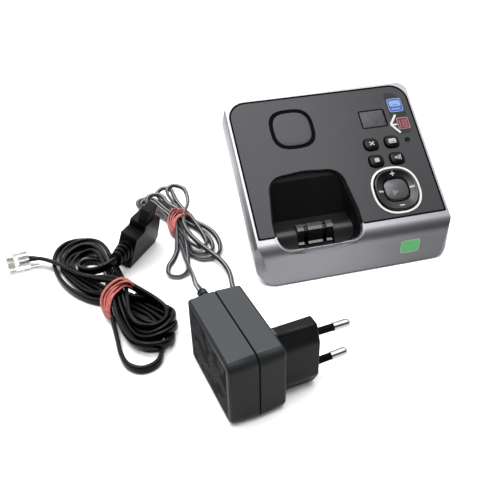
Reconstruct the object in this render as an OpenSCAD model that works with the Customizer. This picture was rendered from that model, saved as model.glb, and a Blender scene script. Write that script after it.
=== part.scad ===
// Base of a cordless telephone with an answering machine, with its plug-in
// power adapter and its line cord, both tied in hanks with rubber bands.
// Millimetres. X runs along the width of the base, the front faces -Y, Z is up.
// The origin is on the table under the middle of the base.

/* [Base housing] */
// Overall width of the silver frame
base_w = 119; // [112:1:128]
// Slope of the top panel, in degrees from level
tilt = 36.7; // [33:0.1:40]
// Height of the top panel's front edge above the table
nose_h = 26.5; // [25:0.5:29]
// Slope of the front face, in degrees from level
front_lean = 80; // [74:1:86]
// Length of the top panel's recess, up the slope
panel_l = 86.5; // [84:0.5:95]
// Width of the silver rim beside the top panel
rim_w = 1.9; // [1.2:0.1:3]
// How far each side swells out below the rim
side_swell = 1.1; // [0.4:0.1:2]
// Distance from the panel's front edge to where the slope meets the front face
brow = 8; // [7:0.5:10]
// Radius of the roll between the slope and the front face
brow_r = 12; // [8:1:15]
// Wall of the silver frame
frame_wall = 2.2; // [1.6:0.1:2.6]
// Corner radius of the frame at the rear
rear_corner = 12; // [8:1:16]
// Corner radius of the frame at the front, in plan
front_corner = 12; // [8:1:15]
// Thickness of the top panel
panel_t = 2; // [1.5:0.1:2.4]
// Gap around the top panel and the keys
shut_line = 0.4; // [0.3:0.05:0.6]

/* [Lower case] */
// Half width of the recessed black lower case
case_half = 46; // [44:0.5:50]
// Wall of the lower case
case_wall = 2.2; // [1.6:0.1:2.6]
// Distance of the rear wall behind the panel's front edge
case_back = 68; // [66:0.5:71]
// Radius of the lower case's upright rear corners
case_corner = 8; // [4:1:12]
// Height that the rubber feet lift the case
foot_lift = 1; // [0.8:0.1:1.5]
// Diameter of a rubber foot
foot_d = 9; // [7:0.5:11]
// Diameter of the hole pattern over the speaker
grille_d = 30; // [24:1:32]
// Width of a speaker slot
slot_w = 2; // [1.5:0.1:2.4]
// Spacing of the wall-hanging keyholes
keyhole_pitch = 60; // [50:1:70]
// Diameter of a keyhole's round end
keyhole_d = 8; // [7:0.5:9]
// Width of a keyhole's slot
keyhole_slot = 4.2; // [3.5:0.1:4.6]

/* [Handset cradle] */
// Distance of the cradle's middle from the base's middle
cradle_x = -21.1; // [-23:0.1:-20]
// Half width of the cradle's mouth at the front
cradle_half = 26.2; // [25:0.1:27]
// Half width of the cradle's mouth near the top
cradle_top_half = 23.4; // [22:0.1:25]
// Distance from the panel's front edge up the slope to the cradle's top
cradle_top = 37.7; // [36:0.1:39]
// Distance from the panel's front edge down the slope to the cradle's lip
cradle_lip = 8.6; // [8:0.1:9.2]
// Depth of the crease between the cradle's back wall and floor
crease_depth = 11.4; // [10:0.1:12.4]
// Wall of the cradle's liner
liner_wall = 1.6; // [1.2:0.1:2]
// Width of a charge contact
contact_w = 1.9; // [1.6:0.1:2.2]
// Thickness of the contact spring
contact_t = 0.4; // [0.3:0.05:0.5]
// Travel of a charge contact
contact_travel = 1; // [0.6:0.1:1.2]

/* [Buttons] */
// Width of the locator button's surround
locator_w = 27; // [25:0.5:28]
// Length of the locator button's surround
locator_l = 26.4; // [25:0.1:28]
// Width of the black ring round the locator button
locator_ring = 2.1; // [1.6:0.1:3]
// Distance of the locator button's middle up the slope
locator_v = 65.4; // [64:0.2:68]
// Width of a small key
key_w = 9; // [8:0.2:10]
// Length of a small key
key_l = 7.8; // [7:0.2:9]
// Distance between the key columns
key_pitch_u = 13.3; // [12:0.1:14.5]
// Distance between the key rows
key_pitch_v = 11.2; // [10.4:0.1:12]
// Middle of the four small keys, from the base's middle
key_u = 30.7; // [29:0.1:31.5]
// Middle of the four small keys, up the slope
key_v = 42.4; // [41.5:0.1:43.5]
// Travel of every key
key_travel = 0.6; // [0.4:0.1:0.8]
// Outer diameter of the navigator's trim ring
navigator_d = 30; // [28:0.5:31]
// Width of the trim ring
trim_w = 1.2; // [0.8:0.1:1.6]
// Middle of the navigator, up the slope
navigator_v = 16.9; // [16.5:0.1:17.5]
// Width of the navigator's centre button
play_w = 15; // [13:0.5:16]
// Length of the navigator's centre button
play_l = 13.8; // [12:0.2:15]
// Width of the counter window
window_w = 15.8; // [14:0.2:17]
// Length of the counter window
window_l = 11.8; // [10:0.2:13]

/* [Power adapter] */
// Length of the adapter's case
adapter_l = 49; // [46:0.5:54]
// Height of the adapter's case as it lies
adapter_h = 36.4; // [36:0.2:40]
// Thickness of the half on the label side
adapter_back_t = 12.7; // [11:0.1:15]
// Thickness of the half on the plug side
adapter_front_t = 11.7; // [10:0.1:14]
// Wall of the adapter's case
adapter_wall = 2; // [1.6:0.1:2.6]
// Corner radius of the adapter's case
adapter_r = 5; // [3:0.5:7]
// Draft of each half, from seam to face
adapter_draft = 0.8; // [0.4:0.1:1.4]
// Length of the plug body that enters the socket
plug_l = 20.5; // [20:0.5:26]
// Width of the plug body
plug_w = 35.3; // [34.6:0.1:35.6]
// Thickness of the plug body
plug_t = 13.7; // [13.2:0.1:13.9]
// Distance between the mains pins at their roots
pin_pitch = 18.6; // [18:0.1:19.2]
// Diameter of a mains pin
pin_d = 4; // [3.94:0.01:4.06]
// Length of a mains pin
pin_l = 19; // [18.5:0.1:19.5]
// Length of a pin's insulating sleeve
sleeve_l = 10; // [9:0.1:11]
// Length of the adapter's cord guard
guard_l = 24; // [18:0.5:26]

/* [Cords] */
// Width of the adapter's two-core cord
dc_cord_d = 2.8; // [2.4:0.1:3]
// Width of the line cord
line_cord_d = 4.6; // [4:0.1:5]
// Height of the adapter cord's hank
dc_hank_h = 10; // [8:0.5:12]
// Height of the line cord's hank
line_hank_h = 11; // [9.5:0.5:14]
// Thickness of a rubber band
band_t = 1.3; // [1:0.1:1.6]

/* [Hidden] */
$fn = 64;
eps = 0.01;
big = 200;

// ---- places that follow from the housing's sizes ----
// The corner where the slope would meet the front face, and the foot of that
// face, both as [along the slope, off the slope].
turn = front_lean - tilt;
brow_run = brow * cos(tilt);
brow_h = nose_h - brow * sin(tilt);
face_l = (brow_h - foot_lift) / sin(front_lean);
foot_v = -brow - face_l * cos(turn);
frame_t = face_l * sin(turn);
foot_run = brow_run + face_l * cos(front_lean);
roll_v = -brow + brow_r * tan(turn / 2);
inner_w = base_w - 2 * side_swell - 2 * frame_wall;
panel_w = base_w - 2 * side_swell - 2 * rim_w;
frame_back = panel_l + rim_w + side_swell;
swell_below = 0.55;
rear_reach = (frame_back - side_swell * (1 - swell_below)) * cos(tilt)
    + frame_t * sin(tilt);
nose_y = (foot_run - rear_reach) / 2;
flange_t = 2;
floor_z = foot_lift + case_wall;

// A point given behind the panel's front edge and above the table, as
// [along the slope, off the slope].
function on_slant(y, z) = [
    y * cos(tilt) + (z - nose_h) * sin(tilt),
    (z - nose_h) * cos(tilt) - y * sin(tilt)
];

// ---- frames of reference ----
// Along the slope: X across, Y up the slope, Z off the panel.
module on_slope() {
    translate([0, nose_y, nose_h]) rotate([tilt, 0, 0]) children();
}

// Level: X across, Y behind the panel's front edge, Z above the table.
module on_level() {
    translate([0, nose_y, 0]) children();
}

// A side view, drawn as [Y, Z], carried across the width.
module across(width) {
    rotate([90, 0, 90]) linear_extrude(width, center = true) children();
}

// ---- shared outlines ----
// A plate with one corner radius in front and another behind.
module plate_outline(w, front, back, r_front, r_back) {
    half = w / 2;
    polygon([
        [-half + r_front, front], [half - r_front, front],
        [half, front + r_front], [half, back - r_back],
        [half - r_back, back], [-half + r_back, back],
        [-half, back - r_back], [-half, front + r_front]
    ]);
    for (side = [-1, 1]) {
        translate([side * (half - r_front), front + r_front]) circle(r_front);
        translate([side * (half - r_back), back - r_back]) circle(r_back);
    }
}

module round_rect(w, l, r) {
    plate_outline(w, -l / 2, l / 2, r, r);
}

// A square whose sides swell into its corners.
squircle_power = 2.9;
squircle_steps = 48;
function signed_power(value, power) = sign(value) * pow(abs(value), power);
module squircle(w, l, power = squircle_power) {
    polygon([for (step = [0:squircle_steps - 1])
        let (angle = 360 * step / squircle_steps)
        [w / 2 * signed_power(cos(angle), 2 / power),
            l / 2 * signed_power(sin(angle), 2 / power)]
    ]);
}

// The silver part's side view: slope, roll, front face and an open underside.
// inset moves every face inwards, depth says how far down the view reaches.
module slope_profile(inset, depth, back) {
    centre = [roll_v, -brow_r];
    radius = brow_r - inset;
    crest = centre + ([-brow, 0] - centre) * radius / brow_r;
    roll_start = [roll_v, -inset];
    roll_end = centre + radius * [-sin(turn), cos(turn)];
    foot = [crest[0] - (depth + crest[1]) / tan(turn), -depth];
    polygon([[back, -inset], roll_start, roll_end, foot, [back, -depth]]);
    intersection() {
        polygon([[back, -inset], crest, foot, [back, -depth]]);
        translate(centre) circle(radius, $fn = 128);
    }
}

// Level pieces placed inside a sloping frame of reference.
module from_level() {
    rotate([-tilt, 0, 0]) translate([0, 0, -nose_h]) children();
}

// ---- silver frame ----
// The frame's swelling edge, as [depth below the rim, share of the swell].
edge_steps = [[-1, -0.4], [0, 0], [1.2, 0.5], [4.5, 1], [9, 1],
    [frame_t, swell_below], [frame_t + 1, swell_below - 0.09]];

// The swelling edge as points, for a face that reaches a given distance out.
function edge_view(reach) = [for (edge_step = edge_steps)
    [reach - side_swell * (1 - edge_step[1]), -edge_step[0]]];

module frame_solid() {
    side = edge_view(base_w / 2);
    last = len(side) - 1;
    intersection() {
        across(base_w + 4) slope_profile(0, frame_t, frame_back + 2);
        across(base_w + 4) polygon(concat([[-60, -frame_t - 1], [-60, 1]],
            edge_view(frame_back)));
        translate([0, frame_back + 3, 0]) rotate([90, 0, 0]) linear_extrude(big)
            polygon(concat(side,
                [for (step = [last:-1:0]) [-side[step][0], side[step][1]]]));
        translate([0, 0, -frame_t - 2]) linear_extrude(frame_t + 4)
            plate_outline(base_w + 1, -80, frame_back + 0.5, 2, rear_corner);
        from_level() translate([0, 0, foot_lift]) linear_extrude(big)
            plate_outline(base_w + 1, -foot_run, big, front_corner, 2);
    }
}

// Everything inside the frame's walls, less a gap, down to a depth.
module inside_frame(gap, depth) {
    inset = frame_wall + gap;
    intersection() {
        translate([0, 0, -depth]) linear_extrude(depth)
            plate_outline(inner_w - 2 * gap, foot_v - 30,
                frame_back - side_swell - inset, 2, rear_corner - inset);
        across(base_w) slope_profile(inset, depth, frame_back);
        from_level() translate([0, 0, -big / 2]) linear_extrude(big)
            plate_outline(base_w - 2 * inset, -foot_run + inset, big,
                front_corner - inset, 2);
    }
}

// The panel's ledge, a rail under its edge.
ledge_w = 2.4;
ledge_t = 1.8;
module panel_recess(grow) {
    plate_outline(panel_w + 2 * grow, -grow, panel_l + grow, 1, rear_corner - rim_w);
}

module upper_frame() {
    color("silver") on_slope() difference() {
        union() {
            difference() {
                frame_solid();
                inside_frame(0, 60);
            }
            intersection() {
                frame_solid();
                translate([0, 0, -panel_t - ledge_t]) linear_extrude(ledge_t)
                    plate_outline(inner_w + 1, -ledge_w, frame_back - side_swell - 1,
                        1, rear_corner - 1);
            }
        }
        translate([0, 0, -panel_t]) linear_extrude(big) panel_recess(0);
        translate([0, 0, -panel_t - ledge_t - 1]) linear_extrude(big)
            panel_recess(-ledge_w);
        translate([0, 0, -panel_t - ledge_t - 1]) linear_extrude(ledge_t + 1) {
            at_navigator() squircle(navigator_d + 2 * trim_seat + 2 * fit,
                navigator_d + 2 * trim_seat + 2 * fit, ring_power);
            for (at = post_at) translate([at[0], at[1]])
                circle(d = post_d + 2 * shut_line, $fn = 32);
        }
        cradle_block(0);
        translate([0, 0, -panel_t]) mirror([0, 0, 1]) linear_extrude(ledge_t + 1)
            cradle_plan(liner_wall + 0.3);
    }
}

// ---- handset cradle ----
cradle_crown = 1.1;
cradle_top_r = 10.3;
cradle_front_r = 8.1;
cradle_shoulder = 8;
cradle_deep = 16;
cradle_draft = 5;

// The cradle's mouth, seen square to the slope.
module cradle_plan(grow, tuck = 0) {
    top_r = cradle_top_r - tuck / 2;
    front_r = cradle_front_r - tuck / 2;
    translate([cradle_x, 0]) hull() {
        translate([0, cradle_top - 24]) circle(24 + grow - tuck, $fn = 96);
        for (side = [-1, 1]) {
            translate([side * (cradle_top_half - cradle_top_r - tuck / 2),
                cradle_top - cradle_crown - cradle_top_r])
                circle(top_r + grow, $fn = 48);
            for (v = [cradle_front_r - cradle_lip, cradle_shoulder])
                translate([side * (cradle_half - cradle_front_r - tuck / 2), v])
                    circle(front_r + grow, $fn = 48);
        }
    }
}

// The mouth carried down with draft.
module cradle_block(grow) {
    hull() {
        translate([0, 0, 3]) linear_extrude(eps) cradle_plan(grow);
        translate([0, 0, -cradle_deep]) linear_extrude(eps)
            cradle_plan(grow, cradle_draft);
    }
}

// The pocket's side view, as [along the slope, off the slope]: back wall,
// crease, raised floor, step down, low floor and front wall.
crease_v = 12.8;
floor_step = [3, -8.5];
low_floor = [-2.2, -13.3];
low_front = [-6.5, -12];
module cradle_view(grow) {
    back_slope = crease_depth / (cradle_top - crease_v);
    offset(delta = grow) polygon([
        [cradle_top + 3 / back_slope, 3], [crease_v, -crease_depth],
        floor_step, low_floor, low_front,
        [-cradle_lip - 1, -10], [-cradle_lip - 4, 3]
    ]);
}

module cradle_space(grow) {
    intersection() {
        cradle_block(grow);
        across(base_w) cradle_view(grow);
    }
}

// The block that carries the contacts, in the liner's floor.
block_w = 21.6;
block_front = 6.2;
block_back = 13;
fit = 0.1;

module cradle_liner() {
    color("#141416") on_slope() difference() {
        union() {
            intersection() {
                cradle_space(liner_wall);
                inside_frame(fit, 60);
            }
            translate([0, 0, -panel_t - 1.5]) linear_extrude(1.5) intersection() {
                cradle_plan(liner_wall + 2.2);
                panel_recess(-ledge_w - shut_line);
            }
        }
        cradle_space(0);
        from_level() translate([cradle_x, 0, 0]) across(block_w + 2 * fit)
            polygon([[block_front - 0.4, 0], [block_front - 0.4, 17.5],
                [block_front, 30], [block_back + fit, 30], [block_back + fit, 0]]);
    }
}

// Ribs guide the foot of the handset, and the contacts stand between them.
rib_side = 4.4;
rib_mid = 8.8;
rib_top = 24.4;
module contact_block() {
    slot = contact_w + 0.5;
    slot_x = rib_mid / 2 + slot / 2;
    color("#1b1b1d") on_level() translate([cradle_x, 0, 0]) difference() {
        union() {
            across(block_w) polygon([
                [block_front, 15.2], [block_front + 1.2, 21.6],
                [block_back, 23.3], [block_back, 18.5], [block_front + 2.6, 13.5]
            ]);
            across(block_w - 1) polygon([
                [4.9, 14.2], [4.9, 15], [6.6, 16], [6.6, 14.8]
            ]);
            for (side = [-1, 0, 1])
                translate([side * (block_w / 2 - rib_side / 2), 0, 0])
                    across(side == 0 ? rib_mid : rib_side) polygon([
                        [6.4, 16.5], [6.7, 23.2], [8.3, rib_top],
                        [11.6, rib_top + 0.4], [block_back - 0.2, 23.4],
                        [block_back - 0.2, 21]
                    ]);
        }
        for (side = [-1, 1])
            translate([side * slot_x - slot / 2, block_front - 3, 10])
                cube([slot, block_back - block_front + 2, 20]);
    }
}

// A sprung strip bent over the block's nose.
module bent_strip(points, thickness, width) {
    across(width) for (leg = [0:len(points) - 2]) hull() {
        translate(points[leg]) circle(thickness / 2, $fn = 16);
        translate(points[leg + 1]) circle(thickness / 2, $fn = 16);
    }
}

module contact(side) {
    slot = contact_w + 0.5;
    color("#d8d8dc") on_level()
        translate([cradle_x + side * (rib_mid / 2 + slot / 2), 0, 0])
            bent_strip([[6.9, 18.5], [7.1, 22.6], [8.6, rib_top - 0.2],
                [10.6, 22.6], [11.4, 14.5]], contact_t, contact_w);
}

module contact_left() { contact(-1); }

module contact_right() { contact(1); }

// ---- top panel and what sits in it ----
seat_t = 0.8;
seat_w = 1.2;
mic_at = [47.5, 47.9];
board_top = 8;
board_t = 1.2;
post_d = 5.5;
post_at = [[-50, 46], [50, 33], [-50, 80], [50, 80]];
standoff_at = [[-42, 50], [-42, 79], [5, 50], [5, 79], [44.8, 31], [16.3, 31.5],
    [16.6, 4.6], [44.6, 4.6]];
key_places = [[-1, 1], [1, 1], [-1, -1], [1, -1]];

module at_key(place) {
    translate([key_u + place[0] * key_pitch_u / 2, key_v + place[1] * key_pitch_v / 2])
        children();
}

module at_navigator() {
    translate([key_u, navigator_v]) children();
}

module at_locator() {
    translate([cradle_x, locator_v]) children();
}

module at_window() {
    translate([key_u - 0.4, locator_v]) children();
}

module top_panel() {
    color("#55565a") on_slope() {
        difference() {
            translate([0, 0, -panel_t]) linear_extrude(panel_t) difference() {
                panel_recess(-shut_line);
                cradle_plan(0);
                at_locator() squircle(locator_w + 2 * fit, locator_l + 2 * fit);
                at_window() round_rect(window_w + 2 * fit, window_l + 2 * fit, 1);
                for (place = key_places) at_key(place)
                    squircle(key_w + 2 * shut_line, key_l + 2 * shut_line);
                at_navigator() squircle(navigator_d + 2 * fit, navigator_d + 2 * fit, 2.4);
                translate(mic_at) circle(d = 1.4, $fn = 24);
            }
            translate([mic_at[0], mic_at[1], -0.5]) cylinder(d = 3, h = 1, $fn = 32);
        }
        for (at = post_at) difference() {
            translate([at[0], at[1], -frame_t + flange_t])
                cylinder(d = post_d, h = frame_t - flange_t - panel_t, $fn = 32);
            translate([at[0], at[1], -frame_t]) cylinder(d = 2.2, h = 8, $fn = 24);
        }
        for (at = standoff_at) translate([at[0], at[1], -board_top])
            cylinder(d = 3.2, h = board_top - panel_t, $fn = 24);
    }
}

// The black ring lies below the panel's face and seats under it.
ring_drop = 0.5;
module locator_surround() {
    color("black") on_slope() at_locator() difference() {
        union() {
            translate([0, 0, -panel_t]) linear_extrude(panel_t - ring_drop)
                squircle(locator_w, locator_l);
            translate([0, 0, -panel_t - seat_t]) linear_extrude(seat_t)
                squircle(locator_w + 2 * seat_w, locator_l + 2 * seat_w);
        }
        translate([0, 0, -big / 2]) linear_extrude(big)
            squircle(locator_w - 2 * locator_ring, locator_l - 2 * locator_ring);
    }
}

// A pressed cap: skirt, crown, a flange that stops it below the panel, a stem.
module key_cap(w, l, crown, stop, skirt, stem_d, stem_end) {
    power = squircle_power;
    translate([0, 0, -skirt]) linear_extrude(skirt) squircle(w, l, power);
    hull() {
        linear_extrude(eps) squircle(w, l, power);
        translate([0, 0, crown * 0.75]) linear_extrude(eps)
            squircle(w * 0.86, l * 0.86, power);
        translate([0, 0, crown - eps]) linear_extrude(eps)
            squircle(w * 0.55, l * 0.55, power);
    }
    translate([0, 0, -skirt - seat_t]) linear_extrude(seat_t)
        squircle(w + 2 * stop, l + 2 * stop, power);
    translate([0, 0, -stem_end]) cylinder(d = stem_d, h = stem_end - skirt, $fn = 24);
}

switch_top = 4.9;
module locator_button() {
    play = 0.2;
    color("#4b4c50") on_slope() at_locator() difference() {
        key_cap(locator_w - 2 * locator_ring - 2 * play,
            locator_l - 2 * locator_ring - 2 * play, 0.3, seat_w,
            panel_t + seat_t + 0.2, 4, switch_top - 0.2);
        translate([0, 0, -4.3]) linear_extrude(2.6) difference() {
            squircle(locator_w - 2 * locator_ring - 3.4,
                locator_l - 2 * locator_ring - 3.4);
            circle(d = 4.2);
        }
    }
}

module counter_window() {
    color("#6f7480") on_slope() at_window() {
        translate([0, 0, -panel_t]) linear_extrude(panel_t - 0.15)
            round_rect(window_w, window_l, 1);
        translate([0, 0, -panel_t - seat_t]) linear_extrude(seat_t)
            round_rect(window_w + 2 * seat_w, window_l + 2 * seat_w, 1);
    }
}

module counter_display() {
    top = panel_t + seat_t + 0.1;
    color("#222326") on_slope() at_window() difference() {
        translate([0, 0, -board_top]) linear_extrude(board_top - top)
            round_rect(window_w - 0.8, window_l - 0.8, 0.6);
        for (digit = [-1, 1]) for (row = [-1, 1])
            translate([digit * 3.6, row * 2, -top - 0.6]) linear_extrude(1)
                difference() {
                    square([4.4, 4], center = true);
                    square([2.8, 2.4], center = true);
                }
    }
}

module small_key(place) {
    color("#111113") on_slope() at_key(place)
        key_cap(key_w, key_l, 1.1, 0.6, panel_t + 0.2, 4, 5);
}

module erase_key() { small_key(key_places[0]); }

module message_key() { small_key(key_places[1]); }

module stop_key() { small_key(key_places[2]); }

module speaker_key() { small_key(key_places[3]); }

// ---- navigator: trim, rocking ring and centre button ----
ring_power = 2.4;
ring_clear = 0.5;
trim_seat = 0.4;
ring_d = navigator_d - 2 * trim_w - 2 * ring_clear;
ring_hole_w = play_w + 2 * ring_clear;
ring_hole_l = play_l + 2 * ring_clear;
stem_r = 1.2;
stem_inset = 2;
rocker_r = ring_d / 2 - stem_inset - stem_r - 0.4;
rocker_hole_r = rocker_r - 1;
module navigator_trim() {
    color("white") on_slope() at_navigator() difference() {
        union() {
            translate([0, 0, -panel_t]) linear_extrude(panel_t + 0.5)
                squircle(navigator_d, navigator_d, ring_power);
            translate([0, 0, -panel_t - seat_t]) linear_extrude(seat_t)
                squircle(navigator_d + 2 * trim_seat, navigator_d + 2 * trim_seat,
                    ring_power);
        }
        translate([0, 0, -big / 2]) linear_extrude(big)
            squircle(navigator_d - 2 * trim_w, navigator_d - 2 * trim_w, ring_power);
    }
}

module navigator_ring() {
    color("#0d0d0f") on_slope() at_navigator() {
        difference() {
            union() {
                translate([0, 0, -panel_t - 0.3]) linear_extrude(panel_t + 0.5)
                    squircle(ring_d, ring_d, ring_power);
                hull() {
                    linear_extrude(0.2) squircle(ring_d, ring_d, ring_power);
                    translate([0, 0, 0.9]) linear_extrude(eps)
                        squircle(ring_d * 0.93, ring_d * 0.93, ring_power);
                    translate([0, 0, 1.3]) linear_extrude(eps)
                        squircle(ring_d * 0.8, ring_d * 0.8, ring_power);
                }
            }
            translate([0, 0, -big / 2]) linear_extrude(big)
                squircle(ring_hole_w, ring_hole_l);
        }
        for (side = [0:90:270]) rotate(side)
            translate([ring_d / 2 - stem_inset, 0, -4.4])
                cylinder(r = stem_r, h = 4.4 - panel_t - 0.2, $fn = 24);
    }
}

// The rocker lies under the ring, round the centre button.
module navigator_rocker() {
    color("#2a2a2c") on_slope() at_navigator()
        translate([0, 0, -4.2]) difference() {
            cylinder(r = rocker_r, h = 1.3);
            translate([0, 0, -1]) cylinder(r = rocker_hole_r, h = 4);
        }
}

module play_button() {
    color("#26262a") on_slope() at_navigator()
        key_cap(play_w, play_l, 0.9, 0, panel_t + 2, 6, 5);
}

// ---- behind the panel ----
dome_h = 1.8;
mat_t = 0.9;
mat_w = 24.2;
mat_l = 50;
mat_v = 3.5;
module key_mat() {
    color("#8d8f92") on_slope() translate([0, 0, -board_top]) {
        linear_extrude(mat_t) translate([key_u - mat_w / 2, mat_v]) square([mat_w, mat_l]);
        for (place = key_places) at_key(place) translate([0, 0, mat_t - 0.1])
            cylinder(r1 = 3, r2 = 2.2, h = dome_h - mat_t + 0.2, $fn = 32);
        at_navigator() {
            translate([0, 0, mat_t - 0.1])
                cylinder(r1 = 4, r2 = 3, h = dome_h - mat_t + 0.2, $fn = 32);
            for (side = [0:90:270]) rotate(side)
                translate([ring_d / 2 - 3, 0, mat_t - 0.1])
                    cylinder(r1 = 1.8, r2 = 1.4, h = dome_h - mat_t + 0.4, $fn = 32);
        }
    }
}

// The board is narrow under the keys and wide behind the cradle.
key_board_w = 32;
key_board_l = 60;
key_board_v = 2.8;
top_board_w = 92.6;
top_board_l = 39;
top_board_v = 44.5;
module key_board() {
    color("#2f6b45") on_slope() {
        translate([0, 0, -board_top - board_t]) linear_extrude(board_t) {
            translate([key_u - key_board_w / 2, key_board_v])
                square([key_board_w, key_board_l]);
            translate([-top_board_w / 2, top_board_v]) square([top_board_w, top_board_l]);
        }
        at_locator() translate([-3, -3, -board_top])
            cube([6, 6, board_top - switch_top - 0.9]);
        at_locator() translate([0, 0, -board_top])
            cylinder(d = 3.4, h = board_top - switch_top - key_travel - 0.1, $fn = 24);
    }
}

module radio_shield() {
    color("#c9ccd0") on_slope() translate([-9, 52, -board_top - board_t - 2.9])
        difference() {
            cube([24, 18, 2.9]);
            translate([0.4, 0.4, 0.4]) cube([23.2, 17.2, 3]);
            for (col = [0:5]) for (row = [0:3])
                translate([3.5 + col * 3.4, 3.8 + row * 3.4, -1])
                    cylinder(d = 1.2, h = 3, $fn = 16);
        }
}

module antenna() {
    color("#d5b35a") on_slope() translate([-34, 82.4, -board_top]) {
        cube([30, 0.5, 4]);
        translate([0, -2, 3.6]) cube([30, 2.4, 0.4]);
    }
}

module microphone() {
    color("#a9abae") on_slope()
        translate([mic_at[0], mic_at[1], -panel_t - 2.7 - fit]) difference() {
            cylinder(d = 5.8, h = 2.7, $fn = 32);
            translate([0, 0, 2.4]) cylinder(d = 1.6, h = 1, $fn = 24);
        }
}

// ---- lower case ----
// The underside of the slope above a distance behind the panel's front edge.
function slope_z(y) = foot_lift + (y + foot_run) * tan(tilt);

speaker_at = [case_half - 20, 14];
speaker_d = 34;
speaker_h = 10;
slot_pitch = 4;
socket_z = 11.2;
line_socket_x = -18;
power_socket_x = 18;
line_mouth = [9.8, 7];
power_bore = 5.6;
pillar_at = [[-38.5, 40], [38.5, 40], [-38.5, 60], [38.5, 60]];
keyhole_y = 48;
foot_at = [[-38, 3], [38, 3], [-38, 60], [38, 60]];

module case_wedge(half, y0, y1, z0, rise) {
    intersection() {
        across(2 * half) polygon([[y0, z0], [y1, z0], [y1, slope_z(y1) + rise],
            [y0, slope_z(y0) + rise]]);
        linear_extrude(big) plate_outline(2 * half, y0 - 20, y1, 2,
            case_corner - (case_half - half));
    }
}

module keyhole() {
    circle(d = keyhole_d, $fn = 40);
    translate([-keyhole_slot / 2, 0]) square([keyhole_slot, keyhole_d / 2 + 4]);
    translate([0, keyhole_d / 2 + 4]) circle(d = keyhole_slot, $fn = 32);
}

module speaker_slots() {
    reach = floor((grille_d / 2 - slot_w) / slot_pitch);
    for (i = [-reach:reach]) {
        half = sqrt(pow(grille_d / 2, 2) - pow(i * slot_pitch, 2)) - slot_w / 2;
        translate([i * slot_pitch - slot_w / 2, -half]) square([slot_w, 2 * half]);
        for (end = [-1, 1]) translate([i * slot_pitch, end * half])
            circle(d = slot_w, $fn = 24);
    }
}

module lower_case() {
    color("#232326") on_slope() difference() {
        union() {
            intersection() {
                inside_frame(fit, frame_t + 10);
                translate([-base_w / 2, foot_v - 10, -frame_t])
                    cube([base_w, frame_back - foot_v + 20, flange_t]);
                from_level() translate([0, 0, foot_lift]) linear_extrude(big)
                    square([base_w, 2 * big], center = true);
            }
            intersection() {
                inside_frame(fit, 90);
                from_level() case_wedge(case_half, -foot_run, case_back,
                    foot_lift, 0.5);
            }
        }
        from_level() case_wedge(case_half - case_wall, -3, case_back - case_wall,
            floor_z, 6);
        from_level() {
            translate([speaker_at[0], speaker_at[1], -1]) linear_extrude(floor_z + 2)
                speaker_slots();
            for (side = [-1, 1])
                translate([side * keyhole_pitch / 2, keyhole_y, -1])
                    linear_extrude(floor_z + 2) keyhole();
            for (at = foot_at) translate([at[0], at[1], -1])
                cylinder(d = foot_d + 0.2, h = 1 + foot_lift + foot_seat);
            translate([line_socket_x - line_mouth[0] / 2, case_back - 10,
                socket_z + 2.2]) cube([line_mouth[0], 20, line_mouth[1]]);
            translate([power_socket_x, case_back + 1, socket_z + 5.5])
                rotate([90, 0, 0]) cylinder(d = power_bore + 2, h = 8);
        }
        for (at = post_at) translate([at[0], at[1], -frame_t - 1]) {
            cylinder(d = 2.8, h = 8, $fn = 24);
            cylinder(d = 5.4, h = 2, $fn = 32);
        }
        cradle_space(liner_wall + fit);
    }
    color("#232326") on_level() case_pillars();
}

// Pillars under the main board, and a low wall that locates the speaker.
foot_seat = 0.8;
main_board_z = 9.8;
module case_pillars() {
    for (at = pillar_at) translate([at[0], at[1], floor_z - 0.1])
        cylinder(d = 5, h = main_board_z - floor_z + 0.1, $fn = 32);
    translate([speaker_at[0], speaker_at[1], floor_z - 0.1]) difference() {
        cylinder(d = speaker_d + 2 * 0.8 + 2 * fit, h = 4);
        translate([0, 0, -1]) cylinder(d = speaker_d + 2 * fit, h = 6);
        translate([-50, speaker_d / 2 - 1, -1]) cube([100, 20, 6]);
    }
}

module rubber_feet() {
    color("#3a3a3c") on_level() for (at = foot_at) translate([at[0], at[1], 0])
        cylinder(d = foot_d, h = foot_lift + foot_seat);
}

module speaker_basket() {
    color("#8f9296") on_level()
        translate([speaker_at[0], speaker_at[1], floor_z]) difference() {
            union() {
                cylinder(d = speaker_d, h = 1.2);
                translate([0, 0, 1.1])
                    cylinder(r1 = speaker_d / 2 - 2, r2 = 10, h = 4, $fn = 64);
                translate([0, 0, 5]) cylinder(d = 18, h = speaker_h - 5);
            }
            translate([0, 0, -0.5]) cylinder(d = speaker_d - 5, h = 1.7);
            translate([0, 0, 1.1])
                cylinder(r1 = speaker_d / 2 - 3.2, r2 = 9, h = 3.4, $fn = 64);
        }
}

module speaker_cone() {
    color("#3b3b3e") on_level()
        translate([speaker_at[0], speaker_at[1], floor_z + 1.3]) rotate_extrude()
            polygon([[0, 1.6], [3, 2.6], [8.6, 2.4], [12.6, 0], [13.3, 0], [8.9, 2.9],
                [3, 3.1], [0, 2.1]]);
}

board_half = case_half - 4.6;
board_front = 35;
module main_board() {
    color("#2f6b45") on_level() translate([0, 0, main_board_z])
        linear_extrude(socket_z - main_board_z) difference() {
            plate_outline(2 * board_half, board_front, case_back - case_wall - 0.5, 1,
                case_corner - case_wall);
            for (at = pillar_at) translate(at) circle(d = 2.2, $fn = 24);
        }
}

module capacitors() {
    color("#3d4a66") on_level() for (at = [[-4, 44, 8, 13], [5.5, 44, 8, 11],
        [-29, 44, 6.3, 11], [33, 47, 5, 9]])
        translate([at[0], at[1], socket_z]) {
            cylinder(d = at[2], h = at[3], $fn = 40);
            cylinder(d = at[2] + 0.4, h = 1, $fn = 40);
        }
}

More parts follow.
